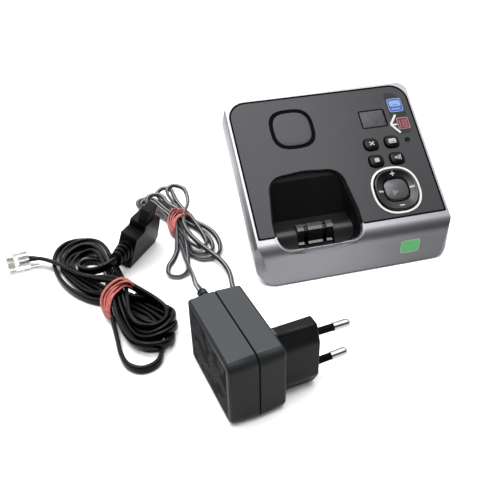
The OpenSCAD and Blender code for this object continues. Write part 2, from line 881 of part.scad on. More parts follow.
// The six-way line socket, its mouth in the rear wall.
module line_socket() {
    depth = 16;
    color("#1d1d20") on_level()
        translate([line_socket_x, case_back - case_wall - fit - depth, socket_z])
            difference() {
                translate([-6.7, 0, 0]) cube([13.4, depth, 11.6]);
                translate([-line_mouth[0] / 2, 3, 2.2])
                    cube([line_mouth[0], depth, line_mouth[1]]);
                translate([-1.9, 3, 1]) cube([3.8, depth, 3]);
            }
}

module power_socket() {
    depth = 14;
    color("#1d1d20") on_level()
        translate([power_socket_x, case_back - case_wall - fit, socket_z + 5.5]) {
            difference() {
                translate([-4.5, -depth, -5.5]) cube([9, depth, 11]);
                translate([0, 1, 0]) rotate([90, 0, 0])
                    cylinder(d = power_bore, h = 11);
            }
            translate([0, -1, 0]) rotate([90, 0, 0])
                cylinder(d = 1.65, h = 9.5, $fn = 32);
        }
}

// A flat cable from the main board up to the board behind the panel.
ribbon_w = 14;
ribbon_t = 0.6;
ribbon_x = 23;
ribbon_y = 43;
ribbon_foot = socket_z + 2.9;
ribbon_head = nose_h + ((ribbon_y - 0.5) * sin(tilt) - board_top - board_t) / cos(tilt);
function ribbon_point(step, side) = [
    ribbon_y + 3 * sin(180 * step / 12) + side * ribbon_t / 2,
    ribbon_foot + (ribbon_head - 1 - ribbon_foot) * step / 12
];

module ribbon_cable() {
    color("#c7c3b4") on_level() translate([ribbon_x, 0, 0]) {
        across(ribbon_w) polygon(concat(
            [for (step = [0:12]) ribbon_point(step, -1)],
            [for (step = [12:-1:0]) ribbon_point(step, 1)]
        ));
        translate([-ribbon_w / 2 - 1, ribbon_y - 2, socket_z])
            cube([ribbon_w + 2, 4, 3]);
        translate([0, 0, nose_h]) rotate([tilt, 0, 0]) translate([-ribbon_w / 2 - 1,
            (ribbon_y - (board_top + board_t) * sin(tilt)) / cos(tilt) - 2,
            -board_top - board_t - 2.4]) cube([ribbon_w + 2, 4, 2.4]);
    }
}

// ---- power adapter ----
// Its own frame: X along the pins, Y towards the cord, Z above the table.
adapter_turn = 9.5;
adapter_at = [-53.9, -80];
module on_adapter() {
    translate([adapter_at[0], adapter_at[1] + nose_y, 0]) rotate(adapter_turn)
        children();
}

seam_x = -plug_l - adapter_front_t;
adapter_y0 = -13;
pin_z = adapter_h / 2;
pin_lean = 1.66;
face_round = 1.6;
guard_x = seam_x + 1.2;
neck_d = 7;

// A slice of the adapter's case, drawn in Y and Z.
module adapter_slice(x, inset) {
    translate([x, 0, 0]) rotate([90, 0, 90]) linear_extrude(eps)
        translate([adapter_y0 + adapter_l / 2, adapter_h / 2])
            round_rect(adapter_l - 2 * inset, adapter_h - 2 * inset, adapter_r, $fn = 32);
}

// Half of the case, from the seam to its face.
module adapter_half(depth, side) {
    hull() {
        adapter_slice(seam_x + (side < 0 ? -eps : 0), 0);
        adapter_slice(seam_x + side * (depth - face_round), adapter_draft);
        adapter_slice(seam_x + side * (depth - face_round * 0.3), adapter_draft + 0.5);
        adapter_slice(seam_x + side * depth, adapter_draft + face_round);
    }
}

module adapter_hollow(depth, side) {
    inset = adapter_wall + adapter_draft;
    length = depth - adapter_wall;
    translate([side < 0 ? seam_x - length : seam_x - eps, 0, 0]) rotate([90, 0, 90])
        linear_extrude(length + eps) translate([adapter_y0 + adapter_l / 2, adapter_h / 2])
            round_rect(adapter_l - 2 * inset, adapter_h - 2 * inset, adapter_r - 2);
}

module guard_bore(grow) {
    translate([guard_x, adapter_y0 + adapter_l + 1, pin_z]) rotate([90, 0, 0])
        cylinder(d = neck_d + grow, h = adapter_wall + adapter_draft + 2);
}

module adapter_back() {
    color("#1c1d20") on_adapter() difference() {
        adapter_half(adapter_back_t, -1);
        adapter_hollow(adapter_back_t, -1);
        guard_bore(2 * fit);
    }
}

module at_pin(side) {
    translate([0, 0, pin_z + side * pin_pitch / 2])
        rotate([0, 90 + side * pin_lean, 0]) children();
}

module plug_section() {
    slant = 7.7;
    neck = 3;
    half_w = plug_w / 2;
    half_t = plug_t / 2;
    polygon([[-neck, -half_w], [neck, -half_w], [half_t, slant - half_w],
        [half_t, half_w - slant], [neck, half_w], [-neck, half_w],
        [-half_t, half_w - slant], [-half_t, slant - half_w]]);
}

module adapter_front() {
    color("#1c1d20") on_adapter() difference() {
        union() {
            difference() {
                adapter_half(adapter_front_t, 1);
                adapter_hollow(adapter_front_t, 1);
            }
            translate([-plug_l - 0.5, 0, pin_z]) rotate([90, 0, 90])
                linear_extrude(plug_l + 0.5) plug_section();
            for (y = [-7, 30]) for (z = [6.5, 29.9])
                translate([-plug_l - adapter_wall - 1.1, y, z]) rotate([0, 90, 0])
                    cylinder(d = 4, h = 1.6, $fn = 24);
        }
        guard_bore(2 * fit);
        for (side = [-1, 1]) at_pin(side) {
            translate([0, 0, -30]) cylinder(d = core_d + 2 * fit, h = 40);
            translate([0, 0, -sleeve_root]) cylinder(d = sleeve_d + 2 * fit, h = 10);
        }
    }
}

core_d = 3;
sleeve_d = 3.5;
sleeve_root = 3;
pin_root = 23;
module mains_pin(side) {
    color("#c8cacd") on_adapter() at_pin(side) {
        translate([0, 0, -pin_root]) cylinder(d = core_d, h = pin_root + sleeve_l);
        translate([0, 0, sleeve_l]) cylinder(d = pin_d, h = pin_l - sleeve_l - pin_d / 2);
        translate([0, 0, pin_l - pin_d / 2]) sphere(d = pin_d);
    }
}

module mains_pin_upper() { mains_pin(1); }

module mains_pin_lower() { mains_pin(-1); }

module pin_sleeve(side) {
    color("#26262a") on_adapter() at_pin(side) translate([0, 0, -sleeve_root])
        difference() {
            cylinder(d = sleeve_d, h = sleeve_root + sleeve_l);
            translate([0, 0, -1]) cylinder(d = core_d, h = sleeve_root + sleeve_l + 2);
        }
}

module pin_sleeve_upper() { pin_sleeve(1); }

module pin_sleeve_lower() { pin_sleeve(-1); }

// The adapter's circuit board stands behind the pins, on four bosses.
board_x = -plug_l - adapter_wall - 1.1;
module adapter_board() {
    color("#2f6b45") on_adapter() difference() {
        translate([board_x - 1.6, adapter_y0 + 4, 4.4]) cube([1.6, 40, 27.6]);
        for (side = [-1, 1]) at_pin(side) translate([0, 0, -30])
            cylinder(d = core_d + 2 * fit, h = 10);
    }
}

module adapter_transformer() {
    color("#c9a227") on_adapter() translate([board_x - 1.6, 0, 0]) {
        translate([-13, -4, 9]) cube([13, 15, 18]);
        translate([-12, -7.5, 11.5]) cube([11, 22, 13]);
    }
}

module adapter_capacitors() {
    color("#3d4a66") on_adapter() for (at = [[22, 24, 10, 15], [21, 11, 8, 12]])
        translate([board_x - 1.6, at[0], at[1]]) rotate([0, -90, 0])
            cylinder(d = at[2], h = at[3], $fn = 40);
}

// The cord guard: a collar inside, a neck through the wall, ribs outside.
rib_count = 6;
module adapter_guard() {
    wall = adapter_wall + adapter_draft;
    tip_d = dc_cord_d + 2.4;
    pitch = guard_l / rib_count;
    function guard_r(run) = (neck_d + 1.4 - (neck_d + 1.4 - tip_d) * run / guard_l) / 2;
    color("#202125") on_adapter()
        translate([guard_x, adapter_y0 + adapter_l, pin_z]) rotate([-90, 0, 0])
            rotate_extrude() polygon(concat(
                [[0, -wall - 1.6], [neck_d / 2 + 1.2, -wall - 1.6],
                    [neck_d / 2 + 1.2, -wall - fit], [neck_d / 2, -wall - fit],
                    [neck_d / 2, fit]],
                [for (rib = [0:rib_count - 1]) for (corner = [[0.15, 0], [0.6, 0],
                    [0.66, -0.7], [0.98, -0.7]])
                    [guard_r((rib + corner[0]) * pitch) + corner[1],
                        (rib + corner[0]) * pitch]],
                [[tip_d / 2, guard_l], [0, guard_l]]
            ));
}

// ---- cords ----
// Cords lie where they fell, so their places are read from the plan, in
// millimetres behind the panel's front edge.
function along(path, step, share) =
    let (last = len(path) - 1)
    let (a = path[max(step - 1, 0)])
    let (b = path[step])
    let (c = path[min(step + 1, last)])
    let (d = path[min(step + 2, last)])
    0.5 * (2 * b + (c - a) * share + (2 * a - 5 * b + 4 * c - d) * pow(share, 2)
        + (3 * b - a - 3 * c + d) * pow(share, 3));

function smooth(path, steps) = concat(
    [for (leg = [0:len(path) - 2]) for (step = [0:steps - 1])
        along(path, leg, step / steps)],
    [path[len(path) - 1]]
);

function unit(v) = v / norm(v);
function heading(path, step) =
    unit(path[min(step + 1, len(path) - 1)] - path[max(step - 1, 0)]);
function ring_point(path, step, angle, w, t) =
    let (ahead = heading(path, step))
    let (aside = unit(cross(ahead, [0, 0, 1])))
    let (above = cross(aside, ahead))
    path[step] + aside * w / 2 * cos(angle) + above * t / 2 * sin(angle);

// A tube of an oval section swept along a smooth path.
module cord_tube(path, w, t, sides) {
    rings = len(path);
    polyhedron(
        points = [for (step = [0:rings - 1]) for (side = [0:sides - 1])
            ring_point(path, step, 360 * side / sides, w, t)],
        faces = concat(
            [[for (side = [0:sides - 1]) side]],
            [[for (side = [sides - 1:-1:0]) (rings - 1) * sides + side]],
            [for (step = [0:rings - 2]) for (side = [0:sides - 1]) [
                step * sides + side, (step + 1) * sides + side,
                (step + 1) * sides + (side + 1) % sides,
                step * sides + (side + 1) % sides
            ]]
        )
    );
}

// Legs of a hank's outline, each between two round ends [X, Y, radius].
module hank_outline(legs, grow) {
    for (leg = legs) hull() for (end = leg)
        translate([end[0], end[1]]) circle(end[2] + grow, $fn = 40);
}

guard_tip = [guard_x, adapter_y0 + adapter_l + guard_l];
function from_adapter(at) = [
    adapter_at[0] + at[0] * cos(adapter_turn) - at[1] * sin(adapter_turn),
    adapter_at[1] + at[0] * sin(adapter_turn) + at[1] * cos(adapter_turn)
];
lead_start = from_adapter(guard_tip);
lead_next = from_adapter([guard_tip[0], guard_tip[1] + 3]);
lead_bend = from_adapter([guard_tip[0], guard_tip[1] + 6]);
dc_lead_path = [
    [lead_start[0], lead_start[1], pin_z], [lead_next[0], lead_next[1], pin_z],
    [lead_bend[0], lead_bend[1], pin_z - 0.3], [-94.6, -13, 13.8], [-93, -6, 8],
    [-92.6, 1, 4.2], [-93.4, 9, 3.2], [-94.2, 16, 3.6]
];
dc_waist = [-91.5, 64.3, 8];
dc_legs = [
    [[-82.5, 30.5, 12.5], dc_waist], [dc_waist, [-91, 107, 8.6]],
    [dc_waist, [-107.5, 96, 7.8]], [[-100, 14.5, 6], [-93, 52, 6.5]]
];
dc_plug_at = [-74.6, -12.5];
dc_plug_turn = 2;
dc_plug_d = 8.4;
dc_cord_t = dc_cord_d * 0.6;
dc_tail_path = [
    [-74, 37, 8], [-71.4, 30, 6], [-70.2, 20, 3], [-70.6, 8, 1.4],
    [-72.4, -3, 2.4], [dc_plug_at[0] + 0.2, dc_plug_at[1] + 5, 3.9],
    [dc_plug_at[0], dc_plug_at[1], dc_plug_d / 2]
];

module dc_lead() {
    color("#77797d") on_level()
        cord_tube(smooth(dc_lead_path, 3), dc_cord_d, dc_cord_t, 8);
}

module dc_tail() {
    color("#77797d") on_level()
        cord_tube(smooth(dc_tail_path, 3), dc_cord_d, dc_cord_t, 8);
}

module dc_hank() {
    color("#77797d") on_level() translate([0, 0, band_t])
        linear_extrude(dc_hank_h) hank_outline(dc_legs, 0);
}

// A rubber band, wound flat round a hank's waist.
module waist_band(legs, waist, turn, w, h) {
    difference() {
        intersection() {
            linear_extrude(h + 2 * band_t) hank_outline(legs, band_t);
            translate([waist[0], waist[1], 0]) rotate(turn)
                translate([-40, -w / 2, -1]) cube([80, w, 60]);
        }
        translate([0, 0, band_t]) linear_extrude(h) hank_outline(legs, 0);
    }
}

dc_band_w = 9;
dc_band_turn = 10;
module dc_band() {
    color("#d9695c") on_level()
        waist_band(dc_legs, dc_waist, dc_band_turn, dc_band_w, dc_hank_h);
}

// The adapter cord's plug, lying behind the adapter.
barrel_d = 5.5;
barrel_l = 9.5;
dc_body_l = 17;
dc_boot_l = 9;
module on_dc_plug() {
    translate([dc_plug_at[0], dc_plug_at[1] + nose_y, dc_plug_d / 2])
        rotate([90, 0, dc_plug_turn]) children();
}

module dc_plug() {
    color("#1d1e21") on_dc_plug() rotate_extrude() polygon([
        [0, 0], [2.1, 0], [2.1, 1.2], [1.6, 1.4], [1.6, 2.2], [2.4, 2.4], [2.4, 3.8],
        [1.9, 4], [1.9, 4.8], [2.7, 5], [2.7, 6.4], [2.2, 6.6], [2.2, 7.4], [3, 7.6],
        [3.4, dc_boot_l], [dc_plug_d / 2 - 0.4, dc_boot_l], [dc_plug_d / 2, dc_boot_l + 0.8],
        [dc_plug_d / 2, dc_boot_l + dc_body_l - 0.6],
        [dc_plug_d / 2 - 0.6, dc_boot_l + dc_body_l], [0, dc_boot_l + dc_body_l]
    ]);
}

module dc_plug_barrel() {
    color("#c8cacd") on_dc_plug() translate([0, 0, dc_boot_l + dc_body_l])
        difference() {
            cylinder(d = barrel_d, h = barrel_l);
            translate([0, 0, 1]) cylinder(d = 2.1, h = barrel_l);
        }
}

// ---- line cord ----
line_waist = [-135, -3.7, 10];
line_legs = [
    [[-155, 52.3, 17], [-153, 22.3, 15.5]], [[-153, 22.3, 15.5], line_waist],
    [[-121, -42.7, 13.5], line_waist], [[-120, -17.7, 12], line_waist],
    [[-121, -42.7, 13.5], [-120, -17.7, 12]], [[-129, -51.7, 7.5], [-134, -25.7, 6]]
];
line_cord_t = line_cord_d * 0.52;
line_lead_path = [
    [-185.4, 50.1, 5.6], [-181.5, 50.6, 5.8], [-177.4, 49.8, 6.2], [-172, 46.6, 6.8],
    [-166.5, 41.5, 7]
];

module line_lead() {
    color("#17171a") on_level()
        cord_tube(smooth(line_lead_path, 3), line_cord_d, line_cord_t, 10);
}

module line_hank() {
    color("#17171a") difference() {
        on_level() translate([0, 0, band_t]) linear_extrude(line_hank_h)
            hank_outline(line_legs, 0);
        on_wall_plug() translate([-boot_l, -2, -10]) cube([60, 16, 50]);
    }
}

line_band_w = 13;
line_band_turn = 26;
module line_band() {
    color("#d9695c") on_level()
        waist_band(line_legs, line_waist, line_band_turn, line_band_w, line_hank_h);
}

// The wall plug leans over on its lower edge. Its own frame: X along the body
// away from the boot, Y across it, Z up its side.
wall_plug_at = [-127.8, 31.1];
wall_plug_yaw = 53;
wall_plug_lean = 20;
wall_w = 10.7;
wall_h = 23.5;
wall_step_h = 28;
wall_step_at = 8.7;
boot_l = 11;
boot_y = wall_w / 2;
boot_z = 12.4;
module on_wall_plug() {
    translate([wall_plug_at[0], wall_plug_at[1] + nose_y, 0])
        rotate([0, 0, wall_plug_yaw]) rotate([wall_plug_lean, 0, 0]) children();
}

module wall_plug() {
    tongue = [[9.9, 0.8], [19.2, 0.8], [19.2, 6.2], [9.9, 6.2]];
    color("#1f2023") on_wall_plug() difference() {
        union() {
            translate([0, wall_w, 0]) rotate([90, 0, 0]) linear_extrude(wall_w)
                polygon([[0, 0], [30, 0], [32.2, 3.4], [29.5, 16], [27, 23.4],
                    [21.5, wall_step_h], [wall_step_at, wall_step_h],
                    [wall_step_at, wall_h], [0, wall_h]]);
            linear_extrude(wall_step_h + 9.6) polygon(tongue);
        }
        for (row = [0:2]) for (face = [0.8, 6.2])
            translate([11.2 + row * 2.6, face - 0.4, wall_step_h + 1.4])
                cube([1.5, 0.8, 7]);
        translate([-1, boot_y, boot_z]) rotate([0, 90, 0])
            cylinder(d = 5, h = 4);
    }
}

module wall_plug_contacts() {
    color("#b9a45c") on_wall_plug() for (row = [0:2]) for (face = [0.8, 5.9])
        translate([11.2 + row * 2.6 + 0.2, face == 0.8 ? 0.85 : 5.8, wall_step_h + 1.6])
            cube([1.1, 0.35, 6.6]);
}

module wall_plug_boot() {
    color("#1f2023") on_wall_plug() {
        translate([0, boot_y, boot_z]) rotate([0, 90, 0]) cylinder(d = 5, h = 3);
        for (rib = [0:3]) translate([-2.4 - rib * 2.8, boot_y, boot_z])
            rotate([0, 90, 0]) linear_extrude(rib == 0 ? 2.4 : 1.9)
                squircle(14.5 - rib * 1.3, 10 - rib * 0.9, 2.2);
        translate([-boot_l, boot_y, boot_z]) rotate([0, 90, 0])
            cylinder(d = 6, h = boot_l);
    }
}

// ---- modular plug ----
// Its own frame: X from the nose to the cord, Z above the table.
modular_at = [-198.3, 47.6];
modular_turn = 10;
modular_l = 13.3;
modular_w = 9.65;
modular_z0 = 2.4;
modular_h = 6.6;
module on_modular() {
    translate([modular_at[0], modular_at[1] + nose_y, 0]) rotate(modular_turn)
        children();
}

module modular_plug() {
    color("#dfe6ea") on_modular() difference() {
        union() {
            translate([0, -modular_w / 2, modular_z0])
                cube([modular_l, modular_w, modular_h]);
            rotate([90, 0, 0]) linear_extrude(3.2, center = true) polygon([
                [0.6, modular_z0 + 0.2], [0.6, 1.2], [5, 1], [18.6, 0.1], [18.6, 0.9],
                [6, 2], [2.4, modular_z0 + 0.2]
            ]);
        }
        for (way = [-1.5:1:1.5]) translate([0.8, way * 1.27 - 0.35, modular_z0 + 1.4])
            cube([4.4, 0.7, modular_h]);
        translate([6.4, -line_cord_d / 2 - 0.2, modular_z0 + 1.6])
            cube([20, line_cord_d + 0.4, line_cord_t + 1.2]);
    }
}

module modular_contacts() {
    color("#b9953a") on_modular() for (way = [-1.5:1:1.5])
        translate([1.2, way * 1.27 - 0.15, modular_z0 + 1.4])
            cube([3.6, 0.3, modular_h - 2.2]);
}

upper_frame();
top_panel();
lower_case();
rubber_feet();
cradle_liner();
contact_block();
contact_left();
contact_right();
locator_surround();
locator_button();
counter_window();
counter_display();
erase_key();
message_key();
stop_key();
speaker_key();
navigator_trim();
navigator_rocker();
navigator_ring();
play_button();
key_mat();
key_board();
radio_shield();
antenna();
microphone();
main_board();
capacitors();
line_socket();
power_socket();
ribbon_cable();
speaker_basket();
speaker_cone();
adapter_back();
adapter_front();
adapter_board();
adapter_transformer();
adapter_capacitors();
adapter_guard();
mains_pin_upper();
mains_pin_lower();
pin_sleeve_upper();
pin_sleeve_lower();
dc_lead();
dc_hank();
dc_tail();
dc_band();
dc_plug();
dc_plug_barrel();
line_lead();
line_hank();
line_band();
modular_plug();
modular_contacts();
wall_plug();
wall_plug_boot();
wall_plug_contacts();
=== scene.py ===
# %% [markdown]
# # A sloping telephone base, its adapter and its two tied cords
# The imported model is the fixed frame: its case halves, plugs and boards already have
# the right shape and place. This lesson adds what the eye judges: cords that are
# really wound, stretched rubber bands, pillow-shaped keys, printed marks, and a
# finish for every surface. Sizes are in millimetres here and in metres in Blender.

# %% Load the frame
import math
import random

import bmesh
import bpy
from mathutils import Matrix, Vector
from mathutils.bvhtree import BVHTree


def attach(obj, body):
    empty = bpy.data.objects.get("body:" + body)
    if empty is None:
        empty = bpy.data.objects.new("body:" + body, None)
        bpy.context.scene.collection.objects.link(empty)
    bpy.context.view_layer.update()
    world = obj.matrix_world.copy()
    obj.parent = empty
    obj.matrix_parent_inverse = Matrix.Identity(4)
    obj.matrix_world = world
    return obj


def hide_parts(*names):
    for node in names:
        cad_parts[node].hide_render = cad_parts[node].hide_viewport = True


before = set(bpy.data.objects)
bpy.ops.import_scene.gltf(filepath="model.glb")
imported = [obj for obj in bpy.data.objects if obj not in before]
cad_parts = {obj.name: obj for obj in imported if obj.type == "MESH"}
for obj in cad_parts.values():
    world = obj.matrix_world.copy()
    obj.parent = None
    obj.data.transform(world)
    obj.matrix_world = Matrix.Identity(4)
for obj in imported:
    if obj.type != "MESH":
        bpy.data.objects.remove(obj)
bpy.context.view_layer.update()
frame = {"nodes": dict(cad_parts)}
nodes = frame["nodes"]
MM = 0.001
random.seed(7)
print("loaded", len(nodes), "nodes")

# %% [markdown]
# ## Frames of reference
# Most of the base lies on a slope, so `slope` takes X across, V up the panel and W
# off it. Things on the table use `level`: distance behind the panel's front edge and
# height. Working in the part's own directions keeps every number plain.

# %% Frames of reference
TILT = math.radians(36.7)
NOSE_Y, NOSE_H = -34.9587, 26.5
OFF_PANEL = Vector((0, -math.sin(TILT), math.cos(TILT)))


def slope(u, v, w=0.0):
    """A point on the slope, in millimetres, as a place in Blender's metres."""
    along = Vector((u, NOSE_Y + v * math.cos(TILT), NOSE_H + v * math.sin(TILT)))
    return (along + OFF_PANEL * w) * MM


def level(x, y, z):
    return Vector((x, y + NOSE_Y, z)) * MM


print("the panel's back edge is", round(slope(0, 86.5).z / MM, 1), "mm high")

# %% [markdown]
# ## Camera
# The camera looks down from the left of the base. It is turned by azimuth, elevation
# and roll about its own place, which is easier to check than a ready-made matrix.

# %% Camera
SENSOR = 36


def aim_camera(place, azimuth, elevation, roll, focal, long_side):
    """focal is in the same unit as the picture's longer side."""
    a, e, r = (math.radians(angle) for angle in (azimuth, elevation, roll))
    ahead = Vector((-math.sin(a) * math.cos(e), math.cos(a) * math.cos(e), -math.sin(e)))
    right = ahead.cross(Vector((0, 0, 1))).normalized()
    up = right.cross(ahead)
    right, up = (right * math.cos(r) + up * math.sin(r),
                 up * math.cos(r) - right * math.sin(r))
    data = bpy.data.cameras.new("view")
    data.sensor_width = SENSOR
    data.lens = focal * SENSOR / long_side
    data.clip_start, data.clip_end = 0.01, 20
    eye = bpy.data.objects.new("view", data)
    bpy.context.scene.collection.objects.link(eye)
    eye.matrix_world = (Matrix.Translation(place)
                        @ Matrix((right, up, -ahead)).transposed().to_4x4())
    bpy.context.scene.camera = eye
    return eye


camera = aim_camera(place=Vector((-0.12964, -0.30472, 0.21289)), azimuth=-13.189,
                    elevation=34.582, roll=-1.905, focal=610, long_side=500)
print("lens", round(camera.data.lens, 2))

# %% [markdown]
# ## Sweeping a section
# A cord is one section carried along a line. A Blender curve could do it, but a flat
# cord has to turn from lying flat to standing on edge, so the section is carried by
# hand: each step extrudes the last ring and sets it on the line. Two attributes
# remember where a vertex lies, `run` along the cord and `across` its width. Keys,
# bands and cases are rings extruded in the same way, with places of their own.

# %% A smooth line
def smooth_line(points, steps, closed=False):
    """Points in millimetres made into a rounded line through all of them."""
    points = [Vector(p) for p in points]
    last = len(points) - 1
    line = []
    for i in range(len(points) if closed else last):
        a, b = points[i], points[(i + 1) % len(points)]
        before = points[i - 1] if closed or i else a
        after = points[(i + 2) % len(points)] if closed else points[min(i + 2, last)]
        lead = (b - before) / (2 if closed or i else 1)
        tail = (after - a) / (2 if closed or i + 2 <= last else 1)
        for k in range(steps):
            s = k / steps
            line.append(a * (1 - s) ** 3 + (a + lead / 3) * 3 * (1 - s) ** 2 * s
                        + (b - tail / 3) * 3 * (1 - s) * s * s + b * s ** 3)
    if not closed:
        line.append(points[last])
    return line


print("three points make a line of", len(smooth_line([(0, 0, 0), (9, 5, 0), (9, 9, 0)], 5)))


# %% Growing, sweeping and lofting rings
def grow_ring(bm, ring, edges):
    """Extrude a loop of edges. Gives its vertices, in the old order, and its edges."""
    grown = bmesh.ops.extrude_edge_only(bm, edges=edges)["geom"]
    new = {g for g in grown if isinstance(g, bmesh.types.BMVert)}
    ring = [next(e.other_vert(old) for e in old.link_edges if e.other_vert(old) in new)
            for old in ring]
    edges = [g for g in grown if isinstance(g, bmesh.types.BMEdge)
             and g.verts[0] in new and g.verts[1] in new]
    return ring, edges


def sweep(bm, section, line, lean):
    """Carry a section along a line. lean turns it, from flat to on edge."""
    run_at = bm.verts.layers.float.new("run")
    across_at = bm.verts.layers.float.new("across")
    ring = first = [bm.verts.new((0, 0, 0)) for _ in section]
    edges = [bm.edges.new(pair) for pair in zip(ring, ring[1:] + ring[:1])]
    run = 0.0
    for i, spot in enumerate(line):
        if i:
            run += (spot - line[i - 1]).length
            ring, edges = grow_ring(bm, ring, edges)
        ahead = (line[min(i + 1, len(line) - 1)] - line[max(i - 1, 0)]).normalized()
        side = ahead.cross(Vector((0, 0, 1))).normalized()
        turn = Matrix.Rotation(lean(run), 3, ahead)
        side, up = turn @ side, turn @ side.cross(ahead)
        for vert, (a, b) in zip(ring, section):
            vert.co = level(*(spot + side * a + up * b))
            vert[run_at], vert[across_at] = run, a
    bm.faces.new(first)
    bm.faces.new(ring)
    return run


def loft(rings, close=True, bm=None):
    """Extrude a loop of edges from ring to ring. Without caps the ends are joined."""
    bm = bmesh.new() if bm is None else bm
    sides = len(rings[0])
    ring = bmesh.ops.create_circle(bm, cap_ends=close, segments=sides,
                                   radius=MM)["verts"]
    edges = first = list({e for vert in ring for e in vert.link_edges})
    for number, places in enumerate(rings):
        if number:
            ring, edges = grow_ring(bm, ring, edges)
        for vert, spot in zip(ring, places):
            vert.co = spot
    if close:
        bm.faces.new(ring)
        bmesh.ops.poke(bm, faces=[f for f in bm.faces if len(f.verts) == sides])
    else:
        bmesh.ops.bridge_loops(bm, edges=first + edges)
    return bm


print("sweep and loft ready")

# %% Finish a piece
LARGE_FACE = 20 * MM * MM


def finish_piece(name, bm, paint, body, replaces=(), smooth=True, flat_over=None):
    """Turn a bmesh into a piece that rides on a body. Large faces, and faces wider
    than flat_over millimetres, stay flat, so only rounded borders shade smoothly."""
    bmesh.ops.recalc_face_normals(bm, faces=bm.faces)
    for face in bm.faces:
        border = flat_over is None or (
            face.calc_area() < LARGE_FACE
            and min(edge.calc_length() for edge in face.edges) < flat_over * MM)
        face.smooth = smooth and border
    mesh = bpy.data.meshes.new(name)
    bm.to_mesh(mesh)
    bm.free()
    mesh.materials.append(paint.material)
    piece = bpy.data.objects.new(name, mesh)
    bpy.context.scene.collection.objects.link(piece)
    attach(piece, body)
    if replaces:
        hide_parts(*replaces)
    return piece


print("large faces are over", round(LARGE_FACE / MM ** 2), "square millimetres")

# %% [markdown]
# ## Shader sums
# A finish is a small flow of numbers. `Flow` wraps one socket and takes Python's own
# operators, so `1 - mask * 0.3` adds the Math nodes that say so. `Nodes` holds one
# tree, and its one `node` method makes every other kind of node. `Paint` is such a
# tree for a finish, and the sky is one too.

# %% Colours as light
HELD_DOWN = 0.42


def tint(code, share=1.0):
    """A web colour as linear light, held down because the lamps are strong."""
    share *= HELD_DOWN
    parts = (int(code[i:i + 2], 16) / 255 for i in (1, 3, 5))
    light = [p / 12.92 if p < 0.04045 else ((p + 0.055) / 1.055) ** 2.4 for p in parts]
    return (*(min(1.0, c * share) for c in light), 1.0)


def grey(level_of_light):
    return (level_of_light, level_of_light, level_of_light, 1.0)


print("white is held down to", tint("#ffffff"))


# %% Flow
class Flow:
    def __init__(self, nodes, socket):
        self.nodes, self.socket = nodes, socket

    def maths(self, operation, *others):
        """A Math node whose first number is this flow."""
        return self.nodes.node("Math", {"operation": operation},
                               dict(enumerate((self, *others))))

    def __add__(self, other):
        return self.maths("ADD", other)

    def __sub__(self, other):
        return self.maths("SUBTRACT", other)

    def __rsub__(self, other):
        return self.nodes.node("Math", {"operation": "SUBTRACT"}, {0: other, 1: self})

    def __mul__(self, other):
        return self.maths("MULTIPLY", other)

    def __truediv__(self, other):
        return self.maths("DIVIDE", other)

    def __abs__(self):
        return self.maths("ABSOLUTE")

    __radd__ = __add__
    __rmul__ = __mul__

    def step(self, start, end):
        """0 below start, 1 above end, and a smooth rise between."""
        return self.nodes.node("MapRange", {"interpolation_type": "SMOOTHSTEP"}, {
            "Value": self, "From Min": start, "From Max": end})


print("flow ready")

# %% Nodes
MIX_SHARE, MIX_FIRST, MIX_SECOND, MIX_RESULT = 0, 6, 7, 2


class Nodes:
    """The nodes of a material or a world, and the shader that they feed."""

    def __init__(self, owner, shader):
        owner.use_nodes = True
        self.tree = owner.node_tree
        self.shader = self.tree.nodes[shader]

    def feed(self, socket, value):
        """Give one of the shader's sockets a constant or a flow."""
        self.join(self.shader.inputs[socket], value)

    def join(self, socket, value):
        if isinstance(value, Flow):
            self.tree.links.new(value.socket, socket)
        else:
            socket.default_value = value

    def node(self, kind, settings=(), sockets=(), out=0):
        made = self.tree.nodes.new("ShaderNode" + kind)
        for key, value in dict(settings).items():
            if key == "stops":
                ramp = made.color_ramp.elements
                while len(ramp) < len(value):
                    ramp.new(0.5)
                for stop, (place, light) in zip(ramp, value):
                    stop.position, stop.color = place, grey(light)
            else:
                setattr(made, key, value)
        for key, value in dict(sockets).items():
            self.join(made.inputs[key], value)
        return Flow(self, made.outputs[out])

    def mix(self, first, second, share):
        return self.node("Mix", {"data_type": "RGBA"}, {
            MIX_SHARE: share, MIX_FIRST: first, MIX_SECOND: second}, out=MIX_RESULT)

    def axis(self, vector, index):
        return self.node("SeparateXYZ", sockets={0: vector}, out=index)


print("nodes ready")


